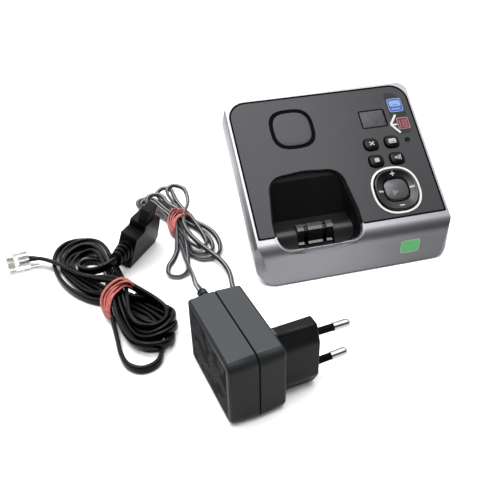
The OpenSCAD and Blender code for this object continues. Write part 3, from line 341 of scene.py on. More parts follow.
# %% Paint
class Paint(Nodes):
    def __init__(self, name, **constants):
        self.material = bpy.data.materials.new(name)
        super().__init__(self.material, "Principled BSDF")
        for key, value in constants.items():
            self.feed(key.replace("_", " "), value)

    def place(self, stretch=(1, 1, 1), turn=(0, 0, 0), centre=(0, 0, 0)):
        """Object coordinates in millimetres, stretched or turned."""
        return self.node("Mapping", {"vector_type": "TEXTURE"}, {
            "Vector": self.node("TexCoord", out="Object"),
            "Location": [c * MM for c in centre], "Rotation": turn,
            "Scale": [s * MM for s in stretch]})

    def noise(self, size, detail=2.0, spot=None, rough=0.5):
        """Soft blotches of about that many millimetres, from 0 to 1."""
        return self.node("TexNoise", {"normalize": True}, {
            "Vector": spot or self.place(), "Scale": 1 / size, "Detail": detail,
            "Roughness": rough})

    def cells(self, size):
        """How far each spot is from the middle of its own small cell."""
        return self.node("TexVoronoi", sockets={"Vector": self.place(),
                                                "Scale": 1 / size})

    def soft_edges(self, radius):
        """The normal of a surface whose edges are rounded by radius millimetres."""
        return self.node("Bevel", {"samples": 4}, {"Radius": radius * MM})

    def edge_mask(self, rounded, keen=18.0):
        """Near 1 where the rounded normal leaves the true one, at an edge."""
        true = self.node("NewGeometry", out="Normal")
        same = self.node("VectorMath", {"operation": "DOT_PRODUCT"},
                         {0: rounded, 1: true}, out="Value")
        return ((1 - same) * keen).maths("MINIMUM", 1.0)

    def bump(self, height, depth, strength=1.0, under=None):
        """Relief of that many millimetres, over the normal that is given as under."""
        sockets = {"Height": height, "Distance": depth * MM, "Strength": strength}
        if under:
            sockets["Normal"] = under
        return self.node("Bump", sockets=sockets)


print("paint ready")

# %% [markdown]
# ## Moulded plastic, the common finish
# Nearly every case part is injection-moulded. Its colour wanders slowly, its surface
# has a fine spark grain, its edges are rubbed paler and its gloss is uneven. One
# function gives all of that with other numbers for each part, since the parts differ
# in degree and not in kind. Rounded edges come from a Bevel node, which the flat
# faces of the frame need to catch light along their corners.

# %% Moulded plastic
def moulded(name, colour, rough, grain, depth, edge=0.25, rub=0.25, drift=0.1,
            scuff=0.08, speck=0.0, shade=None, **constants):
    """grain and depth are the spark grain's size and relief in millimetres."""
    paint = Paint(name, **constants)
    slow = paint.noise(22, 3)
    fine = paint.noise(grain, 2)
    scrape = paint.noise(3.2, 4, paint.place((1, 6, 1), (0, 0, 0.4)), 0.7)
    rounded = paint.soft_edges(edge)
    worn = paint.edge_mask(rounded) * paint.noise(1.6, 3).step(0.25, 0.75)
    base = paint.mix(tint(colour, 1 - drift), tint(colour, 1 + drift), slow)
    base = paint.mix(base, tint(colour, 1.25), fine.step(0.35, 0.75) * 0.35)
    base = paint.mix(base, tint(colour, 2.6), worn * rub)
    if speck:
        dust = paint.cells(2.4).step(0.13, 0.05) * paint.noise(9, 1).step(0.5, 0.7)
        base = paint.mix(base, tint("#b9b8b4"), dust * speck)
    paint.feed("Base Color", shade(paint, base) if shade else base)
    paint.feed("Roughness", rough + (scrape - 0.5) * scuff + worn * 0.05)
    paint.feed("Normal", paint.bump(fine, depth, 0.8, rounded))
    return paint


finishes = {
    "black_case": moulded("black case", "#19191b", 0.5, 0.5, 0.05, rub=0.2, speck=0.25,
                          Specular_IOR_Level=0.3),
    "cap_grey": moulded("cap grey", "#46474b", 0.5, 0.45, 0.03, edge=0.3, rub=0.1,
                        Specular_IOR_Level=0.22),
    "rubber": moulded("foot rubber", "#232325", 0.85, 0.8, 0.05, rub=0.15, speck=0.5),
    "mat": moulded("key mat", "#8f9496", 0.7, 0.9, 0.03, rub=0.1, speck=0.2),
    "paper": moulded("cone paper", "#2c2a28", 0.9, 0.7, 0.12, rub=0.2, speck=0.4),
    "tape": moulded("winding tape", "#c39a1d", 0.35, 1.2, 0.06, rub=0.2),
}
# Near black with little shine: the pins' sleeves are really black, and in the adapter's
# seam it is painted shade.
sleeve_black_seam_shade = moulded("seam black", "#050506", 0.7, 0.6, 0.02, rub=0.0,
                     Specular_IOR_Level=0.05)
plug_black = moulded("wall plug black", "#0a0b0c", 0.42, 0.8, 0.12, edge=0.2, rub=0.15,
                     speck=0.2, Specular_IOR_Level=0.1)
print("moulded finishes", sorted(finishes))

# %% [markdown]
# ## Silver paint and the dark panel
# The frame is plastic with a sprayed silver coat: tiny flakes in a satin lacquer,
# with the grey body showing where a corner is rubbed. A nearly metallic base gives
# the soft dark and light bands along its roll, and painted shade darkens its front
# face towards the right. The panel is bare matte plastic with an even, dense grain,
# and painted shade darkens its colour a little to the right.

# %% Silver frame
silver = Paint("silver coat", Metallic=0.9)
flakes = silver.cells(0.16)
cloud = silver.noise(35, 2)
corner = silver.soft_edges(0.15)
rubbed = silver.edge_mask(corner, 10) * silver.noise(2.4, 3).step(0.45, 0.8)
coat = silver.mix(tint("#adacb2"), tint("#b6b5bb"), cloud)
where = silver.place()
# Painted shade: the front face's coat is darkened towards the right.
front = (silver.axis(where, 1) * -1).step(38, 43)
coat = silver.mix(coat, tint("#adacb2", 0.45),
                  front * silver.axis(where, 0).step(-30, 50) * 0.85)
coat = silver.mix(coat, tint("#d6d5da"), flakes.step(0.32, 0.05) * 0.5)
silver.feed("Base Color", silver.mix(coat, tint("#8a8a8d"), rubbed * 0.4))
silver.feed("Roughness", 0.36 + (silver.noise(6, 3) - 0.5) * 0.1 + rubbed * 0.1)
silver.feed("Normal", silver.bump(flakes, 0.006, 0.5, corner))
finishes["silver"] = silver
print("silver ready")

# %% Panel
def painted_shade_right(paint, base):
    """Painted shade: the panel's colour is darkened a little towards its right."""
    return paint.mix(base, tint("#444549", 0.5),
                     paint.axis(paint.place(), 0).step(-20, 45) * 0.9)


finishes["grey_panel"] = moulded("panel grey", "#444549", 0.5, 0.42, 0.06, edge=0.2,
                                 rub=0.12, drift=0.07, scuff=0.1, speck=0.12,
                                 shade=painted_shade_right, Specular_IOR_Level=0.22)
print("panel ready")

# %% [markdown]
# ## Gloss black
# The cradle, the keys and the rings are polished black. Polish shows what matte
# hides: fine hairlines, a little dust, and flow waves from the mould that bend each
# reflection. Those, and edges that are rubbed paler, make the whole finish.

# %% Gloss black
def polished(name, colour, rough, dust=0.4, edge=0.2, shine=0.5, rub=0.22):
    paint = Paint(name, Specular_IOR_Level=shine)
    rounded = paint.soft_edges(edge)
    hair = paint.noise(0.5, 3, paint.place((14, 0.6, 3), (0.3, 0.2, 0.7)), 0.7)
    motes = paint.cells(1.9).step(0.09, 0.03) * paint.noise(7, 2).step(0.52, 0.68)
    film = paint.noise(11, 3)
    worn = paint.edge_mask(rounded) * paint.noise(1.4, 3).step(0.35, 0.8)
    base = paint.mix(tint(colour), tint(colour, 1.7), film)
    base = paint.mix(base, tint("#5a5b5e"), worn * rub)
    paint.feed("Base Color", paint.mix(base, tint("#8f8d88"), motes * dust))
    paint.feed("Roughness", rough + hair.step(0.55, 0.8) * 0.12 + film * 0.06
               + motes * 0.3)
    paint.feed("Normal", paint.bump(paint.noise(6, 2), 0.05, 0.5, rounded))
    return paint


finishes["black_gloss"] = polished("black gloss", "#0b0d0c", 0.3, 0.2, shine=0.1)
key_gloss = polished("key gloss", "#070708", 0.2, 0.2, shine=0.08)
ring_gloss = polished("ring gloss", "#08080a", 0.14, 0.2, shine=0.25)
liner_black = polished("liner black", "#121313", 0.4, 0.05, edge=0.05, shine=0.03,
                       rub=0.02)
# Painted light: the cradle floor is the liner's black painted lighter, for the light it
# catches.
floor_black_painted_light = polished("cradle floor black", "#1f2020", 0.42, 0.1, shine=0.3)
play_gloss = polished("play key smoke", "#202228", 0.16, 0.2, shine=0.4)
# Painted light: the cradle's contact ribs are painted lighter than the gloss black, for the
# light on their tops.
rib_black_painted_light = polished("rib black", "#1d1f1f", 0.3, 0.2, shine=0.5)
print("gloss black ready")

# %% [markdown]
# ## Metal, boards and small finishes
# Contacts and pins are nickel-plated, drawn in one direction, with faint fingerprints
# and a brown tinge at the root. Boards are green lacquer over copper tracks, which a
# brick pattern gives, with tinned dots from round cells. None of it is seen much, but
# each part still has a finish of its own for anyone who opens the case.

# %% Metal
def plated(name, colour, tarnish, rough, stretch=(1, 14, 14), turn=(0, 0, 0)):
    paint = Paint(name, Metallic=1.0)
    drawn = paint.noise(0.7, 3, paint.place(stretch, turn), 0.6)
    prints = paint.noise(5, 4, rough=0.65)
    rounded = paint.soft_edges(0.12)
    base = paint.mix(tint(colour), tint(colour, 0.82), drawn)
    base = paint.mix(base, tint(tarnish), prints.step(0.55, 0.85) * 0.55)
    paint.feed("Base Color", base)
    paint.feed("Roughness", rough + drawn * 0.08 + prints.step(0.5, 0.8) * 0.15)
    paint.feed("Normal", paint.bump(drawn, 0.012, 0.6, rounded))
    return paint


finishes["nickel"] = plated("nickel plate", "#f4f3f0", "#9d958a", 0.16)
# Painted shade: a darkened nickel for the contacts in the cradle and in the wall plug,
# which sit in shade.
nickel_painted_shade = plated("shaded nickel", "#5a5c5e", "#3a3733", 0.3)
pale_gold = plated("pale gold", "#d9d2b4", "#9c9070", 0.3)
finishes["brass"] = plated("gold wire", "#c9a24a", "#7a5a2c", 0.2)
finishes["tin"] = plated("tinned steel", "#b4b7ba", "#80807c", 0.3, (9, 1, 9))
finishes["can"] = plated("sleeved can", "#39445e", "#20263a", 0.35, (9, 9, 1))
finishes["can"].feed("Metallic", 0.3)
print("metals ready")

# %% Boards, ribbon and display
board = Paint("board green")
tracks = board.node("TexBrick", {"offset": 0.5, "squash": 1.4}, {
    "Vector": board.place((3.1, 2.3, 2.3)), "Scale": 1.0, "Mortar Size": 0.09,
    "Mortar Smooth": 0.2, "Color1": grey(0), "Color2": grey(0.35), "Mortar": grey(1)})
lines = board.node("RGBToBW", sockets={0: tracks})
pads = board.cells(3.4).step(0.2, 0.14)
lacquer = board.mix(tint("#1f5a37"), tint("#2b7446"), board.noise(9, 3))
lacquer = board.mix(lacquer, tint("#4c9a5c"), lines.step(0.3, 0.9) * 0.6)
board.feed("Base Color", board.mix(lacquer, tint("#c3c6c6"), pads * 0.8))
board.feed("Metallic", pads * 0.7)
board.feed("Roughness", 0.34 + board.noise(2, 2) * 0.15)
board.feed("Normal", board.bump(lines + pads, 0.05))
finishes["board"] = board

WIRE_PITCH = 1.27
ribbon = Paint("ribbon wires")
wires = ribbon.axis(ribbon.place((WIRE_PITCH, 1, 1)), 0).maths("PINGPONG", 0.5)
jacket = ribbon.mix(tint("#8e8f93"), tint("#b7b8bb"), ribbon.noise(8, 2))
ribbon.feed("Base Color", ribbon.mix(jacket, tint("#5d5e62"), wires.step(0.12, 0.02)))
ribbon.feed("Roughness", 0.42 + ribbon.noise(3, 2) * 0.15)
ribbon.feed("Normal", ribbon.bump(wires, 0.3))
finishes["ribbon"] = ribbon

finishes["display"] = moulded("display reflector", "#232529", 0.4, 0.6, 0.03, edge=0.15)
print("small finishes ready")

# %% [markdown]
# ## Window, trim and clear plug
# The counter window is smoked glass: a thin black frame is printed on it, and behind
# it the display shows as a cloudy grey-blue. The clouding is painted rather than
# refracted, because the glass is nearly flat and the painted one exports well. The
# modular plug is really clear, so it refracts, with a little of its own tint.

# %% Window and trim
WINDOW_U, WINDOW_V = 30.3, 65.4
window = Paint("smoked window", Specular_IOR_Level=0.2)
at_window = window.place((1, 1, 1), (TILT, 0, 0), slope(WINDOW_U, WINDOW_V) / MM)
off_u = abs(window.axis(at_window, 0))
off_v = abs(window.axis(at_window, 1))
rim = off_u.step(7.15, 7.35).maths("MAXIMUM", off_v.step(5.2, 5.4))
smoke = window.noise(3.6, 4, rough=0.62)
pane = window.mix(tint("#12151f"), tint("#363a47"), smoke.step(0.3, 0.72))
# Painted light: the pane is painted paler towards its top and left.
painted_light_share = (window.axis(at_window, 1) - window.axis(at_window, 0) * 0.5).step(-7, 6)
pane = window.mix(pane, tint("#6d6f77"), painted_light_share * 0.35)
window.feed("Base Color", window.mix(pane, tint("#101012"), rim))
window.feed("Roughness", 0.16 + smoke * 0.12)
window.feed("Normal", window.bump(smoke, 0.03, 0.4))
finishes["window"] = window

finishes["white_trim"] = moulded("trim white", "#f4f4f5", 0.3, 0.6, 0.01, rub=0.0,
                                 drift=0.03, Coat_Weight=0.3)

clear = Paint("clear plastic", Transmission_Weight=0.95, IOR=1.45)
haze = clear.noise(2.2, 4, rough=0.6)
clear.feed("Base Color", clear.mix(grey(0.97), grey(0.8), haze))
clear.feed("Roughness", 0.06 + haze.step(0.5, 0.8) * 0.16)
clear.feed("Normal", clear.bump(clear.noise(1.5, 3), 0.05, 0.6, clear.soft_edges(0.2)))
finishes["clear"] = clear
print("window, trim and clear plug ready")

# %% [markdown]
# ## Cord and band finishes
# Both cords are soft vinyl. The adapter's is two grey cores joined side by side, one
# of them marked with a pale stripe, and it is dull. The line cord is flat, black and
# shiny, and its rounded edges are painted paler as painted highlights. The `across`
# attribute puts the stripe where it belongs, and painted shade on the core that faces
# down and in the groove between the cores, and `run` gives the slow waves that vinyl
# takes from the reel. The bands are natural rubber dyed salmon: cloudy, dusty with
# talc, and paler where they are stretched.

# %% Cord and band finishes
def vinyl(name, dark, pale, rough, half_width):
    paint = Paint(name)
    across, run = (paint.node("Attribute", {"attribute_name": name}, out="Fac")
                   for name in ("across", "run"))
    where = paint.node("CombineXYZ", sockets={0: run * 0.25, 1: across, 2: 0.0})
    streak = paint.noise(1.3, 3, where, 0.6)
    slow = paint.noise(14, 2)
    base = paint.mix(tint(dark), tint(pale), streak.step(0.3, 0.8))
    base = paint.mix(base, tint(dark, 0.8), slow.step(0.4, 0.7) * 0.5)
    wave = paint.noise(4.5, 2, where)
    paint.feed("Roughness", rough + (streak - 0.5) * 0.14)
    paint.feed("Normal", paint.bump(wave + streak * 0.15, 0.08, 0.6))
    return paint, base, across / half_width


grey_vinyl, skin, over = vinyl("grey vinyl", "#3c3d41", "#56575b", 0.4, 1.5)
grey_vinyl.feed("Specular IOR Level", 0.3)
marked = over * -1
stripe = marked.step(0.34, 0.42) * (1 - marked.step(0.62, 0.72))
# Painted shade: the core that faces down when the cord stands on edge is painted darker.
skin = grey_vinyl.mix(skin, tint("#2c2c30"), over.step(-0.1, 0.1) * 0.75)
# Painted shade in the groove between the two cores.
painted_groove_shade = 1 - abs(over).step(0.03, 0.16)
skin = grey_vinyl.mix(skin, tint("#f4f4f6"), stripe * 0.85)
grey_vinyl.feed("Base Color", grey_vinyl.mix(skin, tint("#3a3b3f"), painted_groove_shade * 0.85))

black_vinyl, skin, over = vinyl("black vinyl", "#040405", "#0b0c0d", 0.2, 2.3)
black_vinyl.feed("Specular IOR Level", 0.08)
# Dust dulls the black vinyl in small patches.
lightened = black_vinyl.noise(2.2, 4, rough=0.7).step(0.58, 0.8)
# Painted highlight: the cord's rounded edges are painted paler.
edge = abs(over).step(0.8, 0.98)
skin = black_vinyl.mix(skin, tint("#3a3b3f"), edge * 0.3)
black_vinyl.feed("Base Color", black_vinyl.mix(skin, tint("#55565a"), lightened * 0.06))

rubber_band = Paint("band rubber", Subsurface_Weight=0.12, Subsurface_Scale=0.002)
cloudy = rubber_band.noise(2.6, 4, rough=0.6)
talc = rubber_band.noise(0.7, 3).step(0.5, 0.85)
tone = rubber_band.mix(tint("#b8453b"), tint("#dd7468"), cloudy.step(0.3, 0.7))
tone = rubber_band.mix(tone, tint("#efa79d"), talc * 0.35)
rubber_band.feed("Base Color", tone)
rubber_band.feed("Roughness", 0.5 + talc * 0.2)
rubber_band.feed("Normal", rubber_band.bump(cloudy + talc * 0.3, 0.12))
print("cord and band finishes ready")

# %% [markdown]
# ## Where the cords lie
# A hank is not a ring of tubes: it is one cord folded to and fro in a figure of
# eight. These lists are where such a cord comes to rest when each turn is laid on
# the ones before it, in the order in which it was wound. They were settled before
# this lesson, and are kept as points, three whole tenths of a millimetre each.

# %% Cord routes
def tenths(*values):
    """Whole tenths of a millimetre, three to a point, as points in millimetres."""
    return [tuple(value / 10 for value in values[i:i + 3])
            for i in range(0, len(values), 3)]


LINE_CORD = tenths(
    -1910,489,57, -1854,501,56, -1782,479,59, -1718,430,59, -1661,372,59,
    -1611,309,60, -1563,244,66, -1516,180,81, -1468,120,105, -1415,66,134,
    -1354,15,147, -1292,-34,135, -1233,-84,112, -1176,-136,88, -1133,-201,70,
    -1142,-279,67, -1205,-324,69, -1281,-305,78, -1318,-237,92, -1321,-157,105,
    -1318,-76,110, -1318,3,97, -1323,80,75, -1332,159,57, -1344,238,45, -1360,317,40,
    -1378,395,37, -1404,472,37, -1437,546,34, -1482,612,28, -1550,654,25,
    -1628,644,25, -1682,586,25, -1706,510,25, -1709,429,25, -1697,349,25,
    -1675,272,25, -1642,198,25, -1599,129,25, -1547,68,25, -1484,18,25, -1413,-19,35,
    -1341,-43,60, -1265,-69,69, -1194,-104,55, -1134,-156,42, -1098,-226,57,
    -1108,-301,81, -1162,-358,76, -1236,-360,52, -1289,-304,36, -1314,-228,43,
    -1331,-152,65, -1341,-76,94, -1344,5,101, -1347,87,84, -1353,170,69,
    -1362,256,63, -1375,343,63, -1391,429,64, -1417,512,60, -1459,584,48,
    -1523,631,34, -1601,622,25, -1654,558,25, -1672,472,25, -1664,384,25,
    -1639,301,25, -1603,223,25, -1562,150,25, -1514,84,36, -1454,34,58, -1378,8,65,
    -1304,-18,51, -1246,-70,28, -1195,-132,25, -1143,-194,25, -1103,-263,29,
    -1106,-336,56, -1164,-388,68, -1240,-386,49, -1297,-336,28, -1329,-262,25,
    -1347,-184,33, -1361,-109,61, -1368,-37,96, -1371,42,106, -1375,121,91,
    -1384,200,76, -1397,280,69, -1413,359,68, -1437,436,69, -1480,504,69,
    -1549,538,55, -1621,513,35, -1654,443,25, -1647,363,25, -1618,288,25,
    -1578,218,25, -1533,150,25, -1484,86,25, -1428,28,25, -1356,-8,25, -1292,-56,25,
    -1240,-119,25, -1194,-185,25, -1154,-255,25, -1125,-330,25, -1132,-408,35,
    -1189,-455,61, -1267,-448,65, -1324,-393,55, -1355,-319,53, -1376,-241,62,
    -1387,-163,79, -1391,-85,98, -1393,-5,108, -1395,75,97, -1402,154,81,
    -1414,234,73, -1428,313,72, -1445,392,74, -1487,458,64, -1559,466,40,
    -1602,404,25, -1586,326,25, -1542,259,25, -1492,195,25, -1444,130,25,
    -1400,62,25, -1372,-13,25, -1343,-88,25, -1302,-158,25, -1253,-222,25,
    -1190,-273,25, -1147,-339,25, -1170,-412,25, -1246,-426,25, -1308,-377,25,
    -1339,-303,25, -1361,-225,25, -1379,-147,36, -1389,-69,54, -1382,10,63,
    -1378,90,52, -1386,168,35, -1392,248,25, -1398,329,25, -1417,407,25,
    -1456,477,25, -1527,512,25, -1600,485,25, -1630,412,25, -1614,333,25,
    -1575,263,25, -1527,198,25, -1479,133,25, -1430,69,25, -1376,7,25, -1327,-58,25,
    -1275,-124,25, -1223,-192,25, -1192,-274,25, -1194,-366,25, -1193,-458,25,
    -1225,-538,25, -1300,-564,25, -1365,-518,25, -1392,-433,25, -1399,-342,25,
    -1406,-250,25, -1414,-162,36, -1420,-78,56, -1417,5,68, -1414,87,63,
    -1419,166,46, -1422,245,30, -1424,326,25, -1453,399,25, -1526,417,26,
    -1565,354,42, -1537,282,62, -1483,227,85, -1415,200,115, -1350,228,135,
    -1338,244,135)
ADAPTER_CORD = tenths(
    -941,-279,182, -944,-259,182, -952,-193,170, -951,-132,138, -947,-71,105,
    -943,-8,79, -940,58,59, -941,126,46, -944,194,38, -946,262,28, -946,330,19,
    -946,399,19, -949,468,19, -957,537,19, -968,605,19, -978,672,25, -987,740,35,
    -1000,807,38, -1024,872,38, -1059,931,38, -1090,992,42, -1066,1051,54,
    -1003,1044,62, -974,983,62, -962,915,65, -944,849,75, -916,786,82, -882,729,65,
    -840,679,44, -794,629,35, -755,572,32, -728,509,29, -715,441,24, -716,373,19,
    -736,307,19, -783,259,19, -850,260,19, -894,311,19, -915,376,19, -925,445,19,
    -933,513,19, -943,581,19, -954,649,19, -969,717,19, -997,780,19, -1034,838,19,
    -1076,892,19, -1121,945,19, -1152,1006,19, -1137,1070,19, -1073,1082,19,
    -1025,1034,19, -1000,970,19, -980,904,22, -957,839,30, -929,777,36, -894,718,33,
    -855,661,26, -818,603,22, -787,542,19, -766,476,19, -759,408,19, -773,341,19,
    -831,312,19, -883,352,19, -896,419,19, -898,488,19, -901,557,19, -904,626,19,
    -910,695,19, -921,763,19, -932,831,19, -948,898,19, -969,963,24, -997,1026,31,
    -1008,1092,43, -959,1127,59, -911,1084,62, -902,1016,60, -898,947,60,
    -888,879,61, -874,812,62, -857,745,66, -839,678,67, -822,612,57, -805,547,43,
    -791,481,27, -794,415,19, -843,373,27, -894,402,56, -911,468,60, -910,536,54,
    -911,604,45, -924,671,31, -947,734,19, -979,795,19, -1017,852,19, -1059,907,19,
    -1103,961,19, -1131,1022,19, -1090,1063,19, -1043,1016,19, -1019,951,19,
    -997,886,21, -978,821,32, -963,754,38, -948,687,36, -932,619,31, -921,551,30,
    -915,481,34, -918,407,37, -927,331,35, -937,252,22, -954,174,19, -1005,126,19,
    -1062,157,19, -1056,233,19, -1016,304,19, -986,375,19, -971,447,29, -960,516,40,
    -949,584,50, -938,652,59, -928,720,61, -919,788,60, -916,857,60, -924,925,64,
    -938,992,73, -936,1059,84, -884,1098,85, -828,1065,74, -814,999,69, -817,930,70,
    -826,862,76, -842,796,85, -865,731,89, -888,666,85, -899,598,81, -895,530,78,
    -879,463,68, -854,400,59, -824,338,52, -794,276,48, -765,213,45, -743,148,42,
    -731,81,38, -732,12,36, -741,-56,40, -746,-125,42, -747,-145,42)

print("the routes have", len(LINE_CORD), "and", len(ADAPTER_CORD), "points")

# %% [markdown]
# ## The line cord and the adapter's cord
# The line cord's section is a flat bar with rounded edges. It starts flat in the clear
# plug, leans back along the lead and turns on edge in the hank. The adapter's cord has
# a waist between its two cores. Both sections are circles pushed into shape, so their
# vertices stay evenly spread and shade smoothly.

# %% Wind the cords
WAIST_REACH = 0.22


def bar_section(width, thick, sides, waist=0.0):
    """A rounded bar. waist pinches its middle, which makes two cores of it."""
    section = []
    for k in range(sides):
        angle = 2 * math.pi * k / sides
        a = math.copysign(abs(math.cos(angle)) ** 0.75, math.cos(angle))
        b = math.copysign(abs(math.sin(angle)) ** 0.55, math.sin(angle))
        pinch = 1 - waist * math.exp(-(a / WAIST_REACH) ** 2)
        section.append((a * width / 2, b * thick / 2 * pinch))
    return section


def wind(name, points, section, lean, paint, replaced):
    line = smooth_line(points, 5)
    bm = bmesh.new()
    length = sweep(bm, section, line, lean)
    piece = finish_piece(name, bm, paint, "base", replaced)
    print(name, "is", round(length), "mm long, in", len(line), "rings")
    return piece, length * MM, [list(level(*point)) for point in line]


def rise(run, start, length):
    """0 before start, 1 from length later, and even between."""
    return min(1, max(0, (run - start) / length))


def line_lean(run):
    """Flat in the plug, leaning back along the lead, then on edge in the hank."""
    return -math.radians(35 * rise(run, 7, 6) + 55 * rise(run, 38, 25))


line_cord, line_length, line_path = wind(
    "line_cord", LINE_CORD, bar_section(4.6, 2.4, 14), line_lean, black_vinyl,
    ("line_lead", "line_hank"))
level(-135.0, 22.8, 13.5)


def adapter_lean(run):
    """Flat out of the case, then more than half on edge."""
    return math.radians(54 * rise(run, 6, 30))


adapter_cord, adapter_length, adapter_path = wind(
    "adapter_cord", ADAPTER_CORD, bar_section(3.0, 1.8, 18, 0.3), adapter_lean,
    grey_vinyl, ("dc_lead", "dc_hank", "dc_tail"))
level(-94.4, -25.9, 18.2)

# %% [markdown]
# ## Rubber bands
# Each band is wound four times, and the turns slide over one another, so one side
# spreads and the other bunches. Each turn hugs the cords that it ties and passes
# flat beneath them. A strip section with soft edges, lofted round each closed turn,
# gives the folds and the shadows between them.

# %% Band routes
LINE_BAND = [
    tenths(
        -1256,-21,74, -1261,-29,113, -1282,-30,143, -1306,-24,166, -1333,-17,178,
        -1366,-16,169, -1401,-24,151, -1430,-39,131, -1450,-60,108, -1457,-86,82,
        -1451,-119,61, -1436,-143,36, -1409,-136,8, -1381,-105,7, -1355,-73,7,
        -1327,-42,7, -1301,-9,6, -1270,18,10),
    tenths(
        -1256,-28,75, -1261,-40,114, -1279,-42,145, -1299,-37,168, -1327,-34,170,
        -1357,-33,159, -1389,-40,146, -1417,-55,128, -1436,-75,107, -1444,-102,85,
        -1440,-137,66, -1427,-154,37, -1401,-131,7, -1377,-100,7, -1352,-69,7,
        -1325,-39,7, -1301,-8,6, -1270,16,10),
    tenths(
        -1257,-19,64, -1262,-23,94, -1281,-22,116, -1300,-20,136, -1323,-22,150,
        -1351,-31,150, -1381,-47,144, -1407,-66,129, -1425,-86,106, -1434,-114,86,
        -1434,-149,68, -1421,-160,36, -1395,-127,7, -1374,-96,7, -1349,-66,8,
        -1324,-38,7, -1301,-7,6, -1271,15,10),
    tenths(
        -1257,-26,65, -1263,-36,95, -1281,-40,118, -1299,-40,137, -1320,-40,146,
        -1344,-47,143, -1369,-62,136, -1395,-86,130, -1413,-109,114, -1424,-131,90,
        -1429,-155,64, -1421,-145,14, -1391,-123,6, -1371,-92,7, -1347,-64,8,
        -1323,-36,6, -1301,-7,6, -1271,13,10),
]
ADAPTER_BAND = [
    tenths(
        -842,723,36, -852,734,63, -875,762,72, -908,779,78, -941,769,80, -965,743,74,
        -984,704,62, -991,657,51, -988,607,41, -978,574,26, -960,558,8, -938,589,6,
        -920,624,6, -898,656,6, -877,689,6, -853,720,7),
    tenths(
        -844,717,37, -854,722,63, -875,740,74, -906,743,85, -935,735,87, -957,713,75,
        -975,679,62, -982,635,49, -981,593,37, -968,580,12, -951,564,7, -934,597,6,
        -917,629,6, -896,659,6, -876,689,6, -854,719,6),
    tenths(
        -847,710,38, -858,704,66, -876,715,76, -899,721,83, -923,716,90, -948,689,82,
        -966,654,67, -975,608,57, -977,559,50, -963,572,10, -946,570,6, -932,602,6,
        -915,632,6, -895,660,6, -876,690,6, -856,717,6),
    tenths(
        -849,705,38, -859,693,68, -879,685,88, -902,668,100, -920,657,98,
        -940,642,92, -958,612,83, -968,576,70, -966,564,41, -958,565,9, -943,575,6,
        -930,606,6, -914,635,6, -894,661,6, -876,689,6, -857,716,6),
]


print("the bands have", len(LINE_BAND), "and", len(ADAPTER_BAND), "turns")

# %% Stretch the bands
BAND_SIDES, TURN_STEPS = 12, 5
TABLE_GAP, STRIP_RISE = 0.05, 0.4


def band_rings(line, section):
    """Rings round a closed turn whose flat side faces away from its middle. The
    rings stay above the table, the outer side lowest."""
    middle = sum(line[::TURN_STEPS], Vector()) / (len(line) // TURN_STEPS)
    rings = []
    for i, spot in enumerate(line):
        ahead = (line[(i + 1) % len(line)] - line[i - 1]).normalized()
        out = spot - middle
        out = (out - ahead * out.dot(ahead)).normalized()
        side = ahead.cross(out)
        ring = []
        for a, b in section:
            x, y, z = spot + side * a + out * b
            lowest = TABLE_GAP if b > 0 else TABLE_GAP + STRIP_RISE
            ring.append(level(x, y, max(z, lowest)))
        rings.append(ring)
    return rings


def stretch_band(name, turns, width, thick, replaced):
    bm = bmesh.new()
    for turn in turns:
        section = bar_section(width * random.uniform(0.85, 1.1), thick, BAND_SIDES)
        line = smooth_line(turn, TURN_STEPS, closed=True)
        loft(band_rings(line, section), close=False, bm=bm)
    finish_piece(name, bm, rubber_band, "base", (replaced,))
    print(name, "has", len(turns), "turns")


stretch_band("line_band_turns", LINE_BAND, 4.3, 1.1, "line_band")
stretch_band("adapter_band_turns", ADAPTER_BAND, 3.3, 1.0, "dc_band")

# %% [markdown]
# ## Keys and navigator
# A key is a pillow: a skirt that rises through the panel, a rounded shoulder and a
# gently domed face. Its outline is neither a circle nor a square, so each ring of
# the pillow starts as a circle and is pushed towards a square, and rings are
# extruded one above the other from the stem to the crown.

# %% Pillow helper
def squared(count, half_u, half_v, power):
    """A circle pushed towards a square, as (u, v) pairs."""
    ring = []
    for k in range(count):
        angle = 2 * math.pi * k / count
        c, s = math.cos(angle), math.sin(angle)
        ring.append((half_u * math.copysign(abs(c) ** (2 / power), c),
                     half_v * math.copysign(abs(s) ** (2 / power), s)))
    return ring


def quarter(u, v, r, start, steps):
    """The points of a quarter circle, from an angle in degrees."""
    turns = [math.radians(start + 90 * step / steps) for step in range(steps + 1)]
    return [(u + r * math.cos(turn), v + r * math.sin(turn)) for turn in turns]


def plate(half, front, back, r_front, r_back, steps=12):
    """The outline of a plate with other corners in front than behind."""
    return (quarter(half - r_back, back - r_back, r_back, 0, steps)
            + quarter(-half + r_back, back - r_back, r_back, 90, steps)
            + quarter(-half + r_front, front + r_front, r_front, 180, steps)
            + quarter(half - r_front, front + r_front, r_front, 270, steps))


def shoulder(steps):
    """How far in and how far up a rounded shoulder is, from 0 to 1, at each step."""
    turns = [math.radians(90 * step / steps) for step in range(1, steps + 1)]
    return [(1 - math.cos(turn), math.sin(turn)) for turn in turns]


def pillow(u, v, stations, sides=56, close=True):
    """Rings given as half width, half length, height and squareness."""
    return loft([[slope(u + a, v + b, height)
                  for a, b in squared(sides, half_u, half_v, power)]
                 for half_u, half_v, height, power in stations], close)


KEY_POWER, SHOULDER_IN, SHOULDER_UP, FLANGE_THICK = 2.9, 0.16, 0.72, 0.8


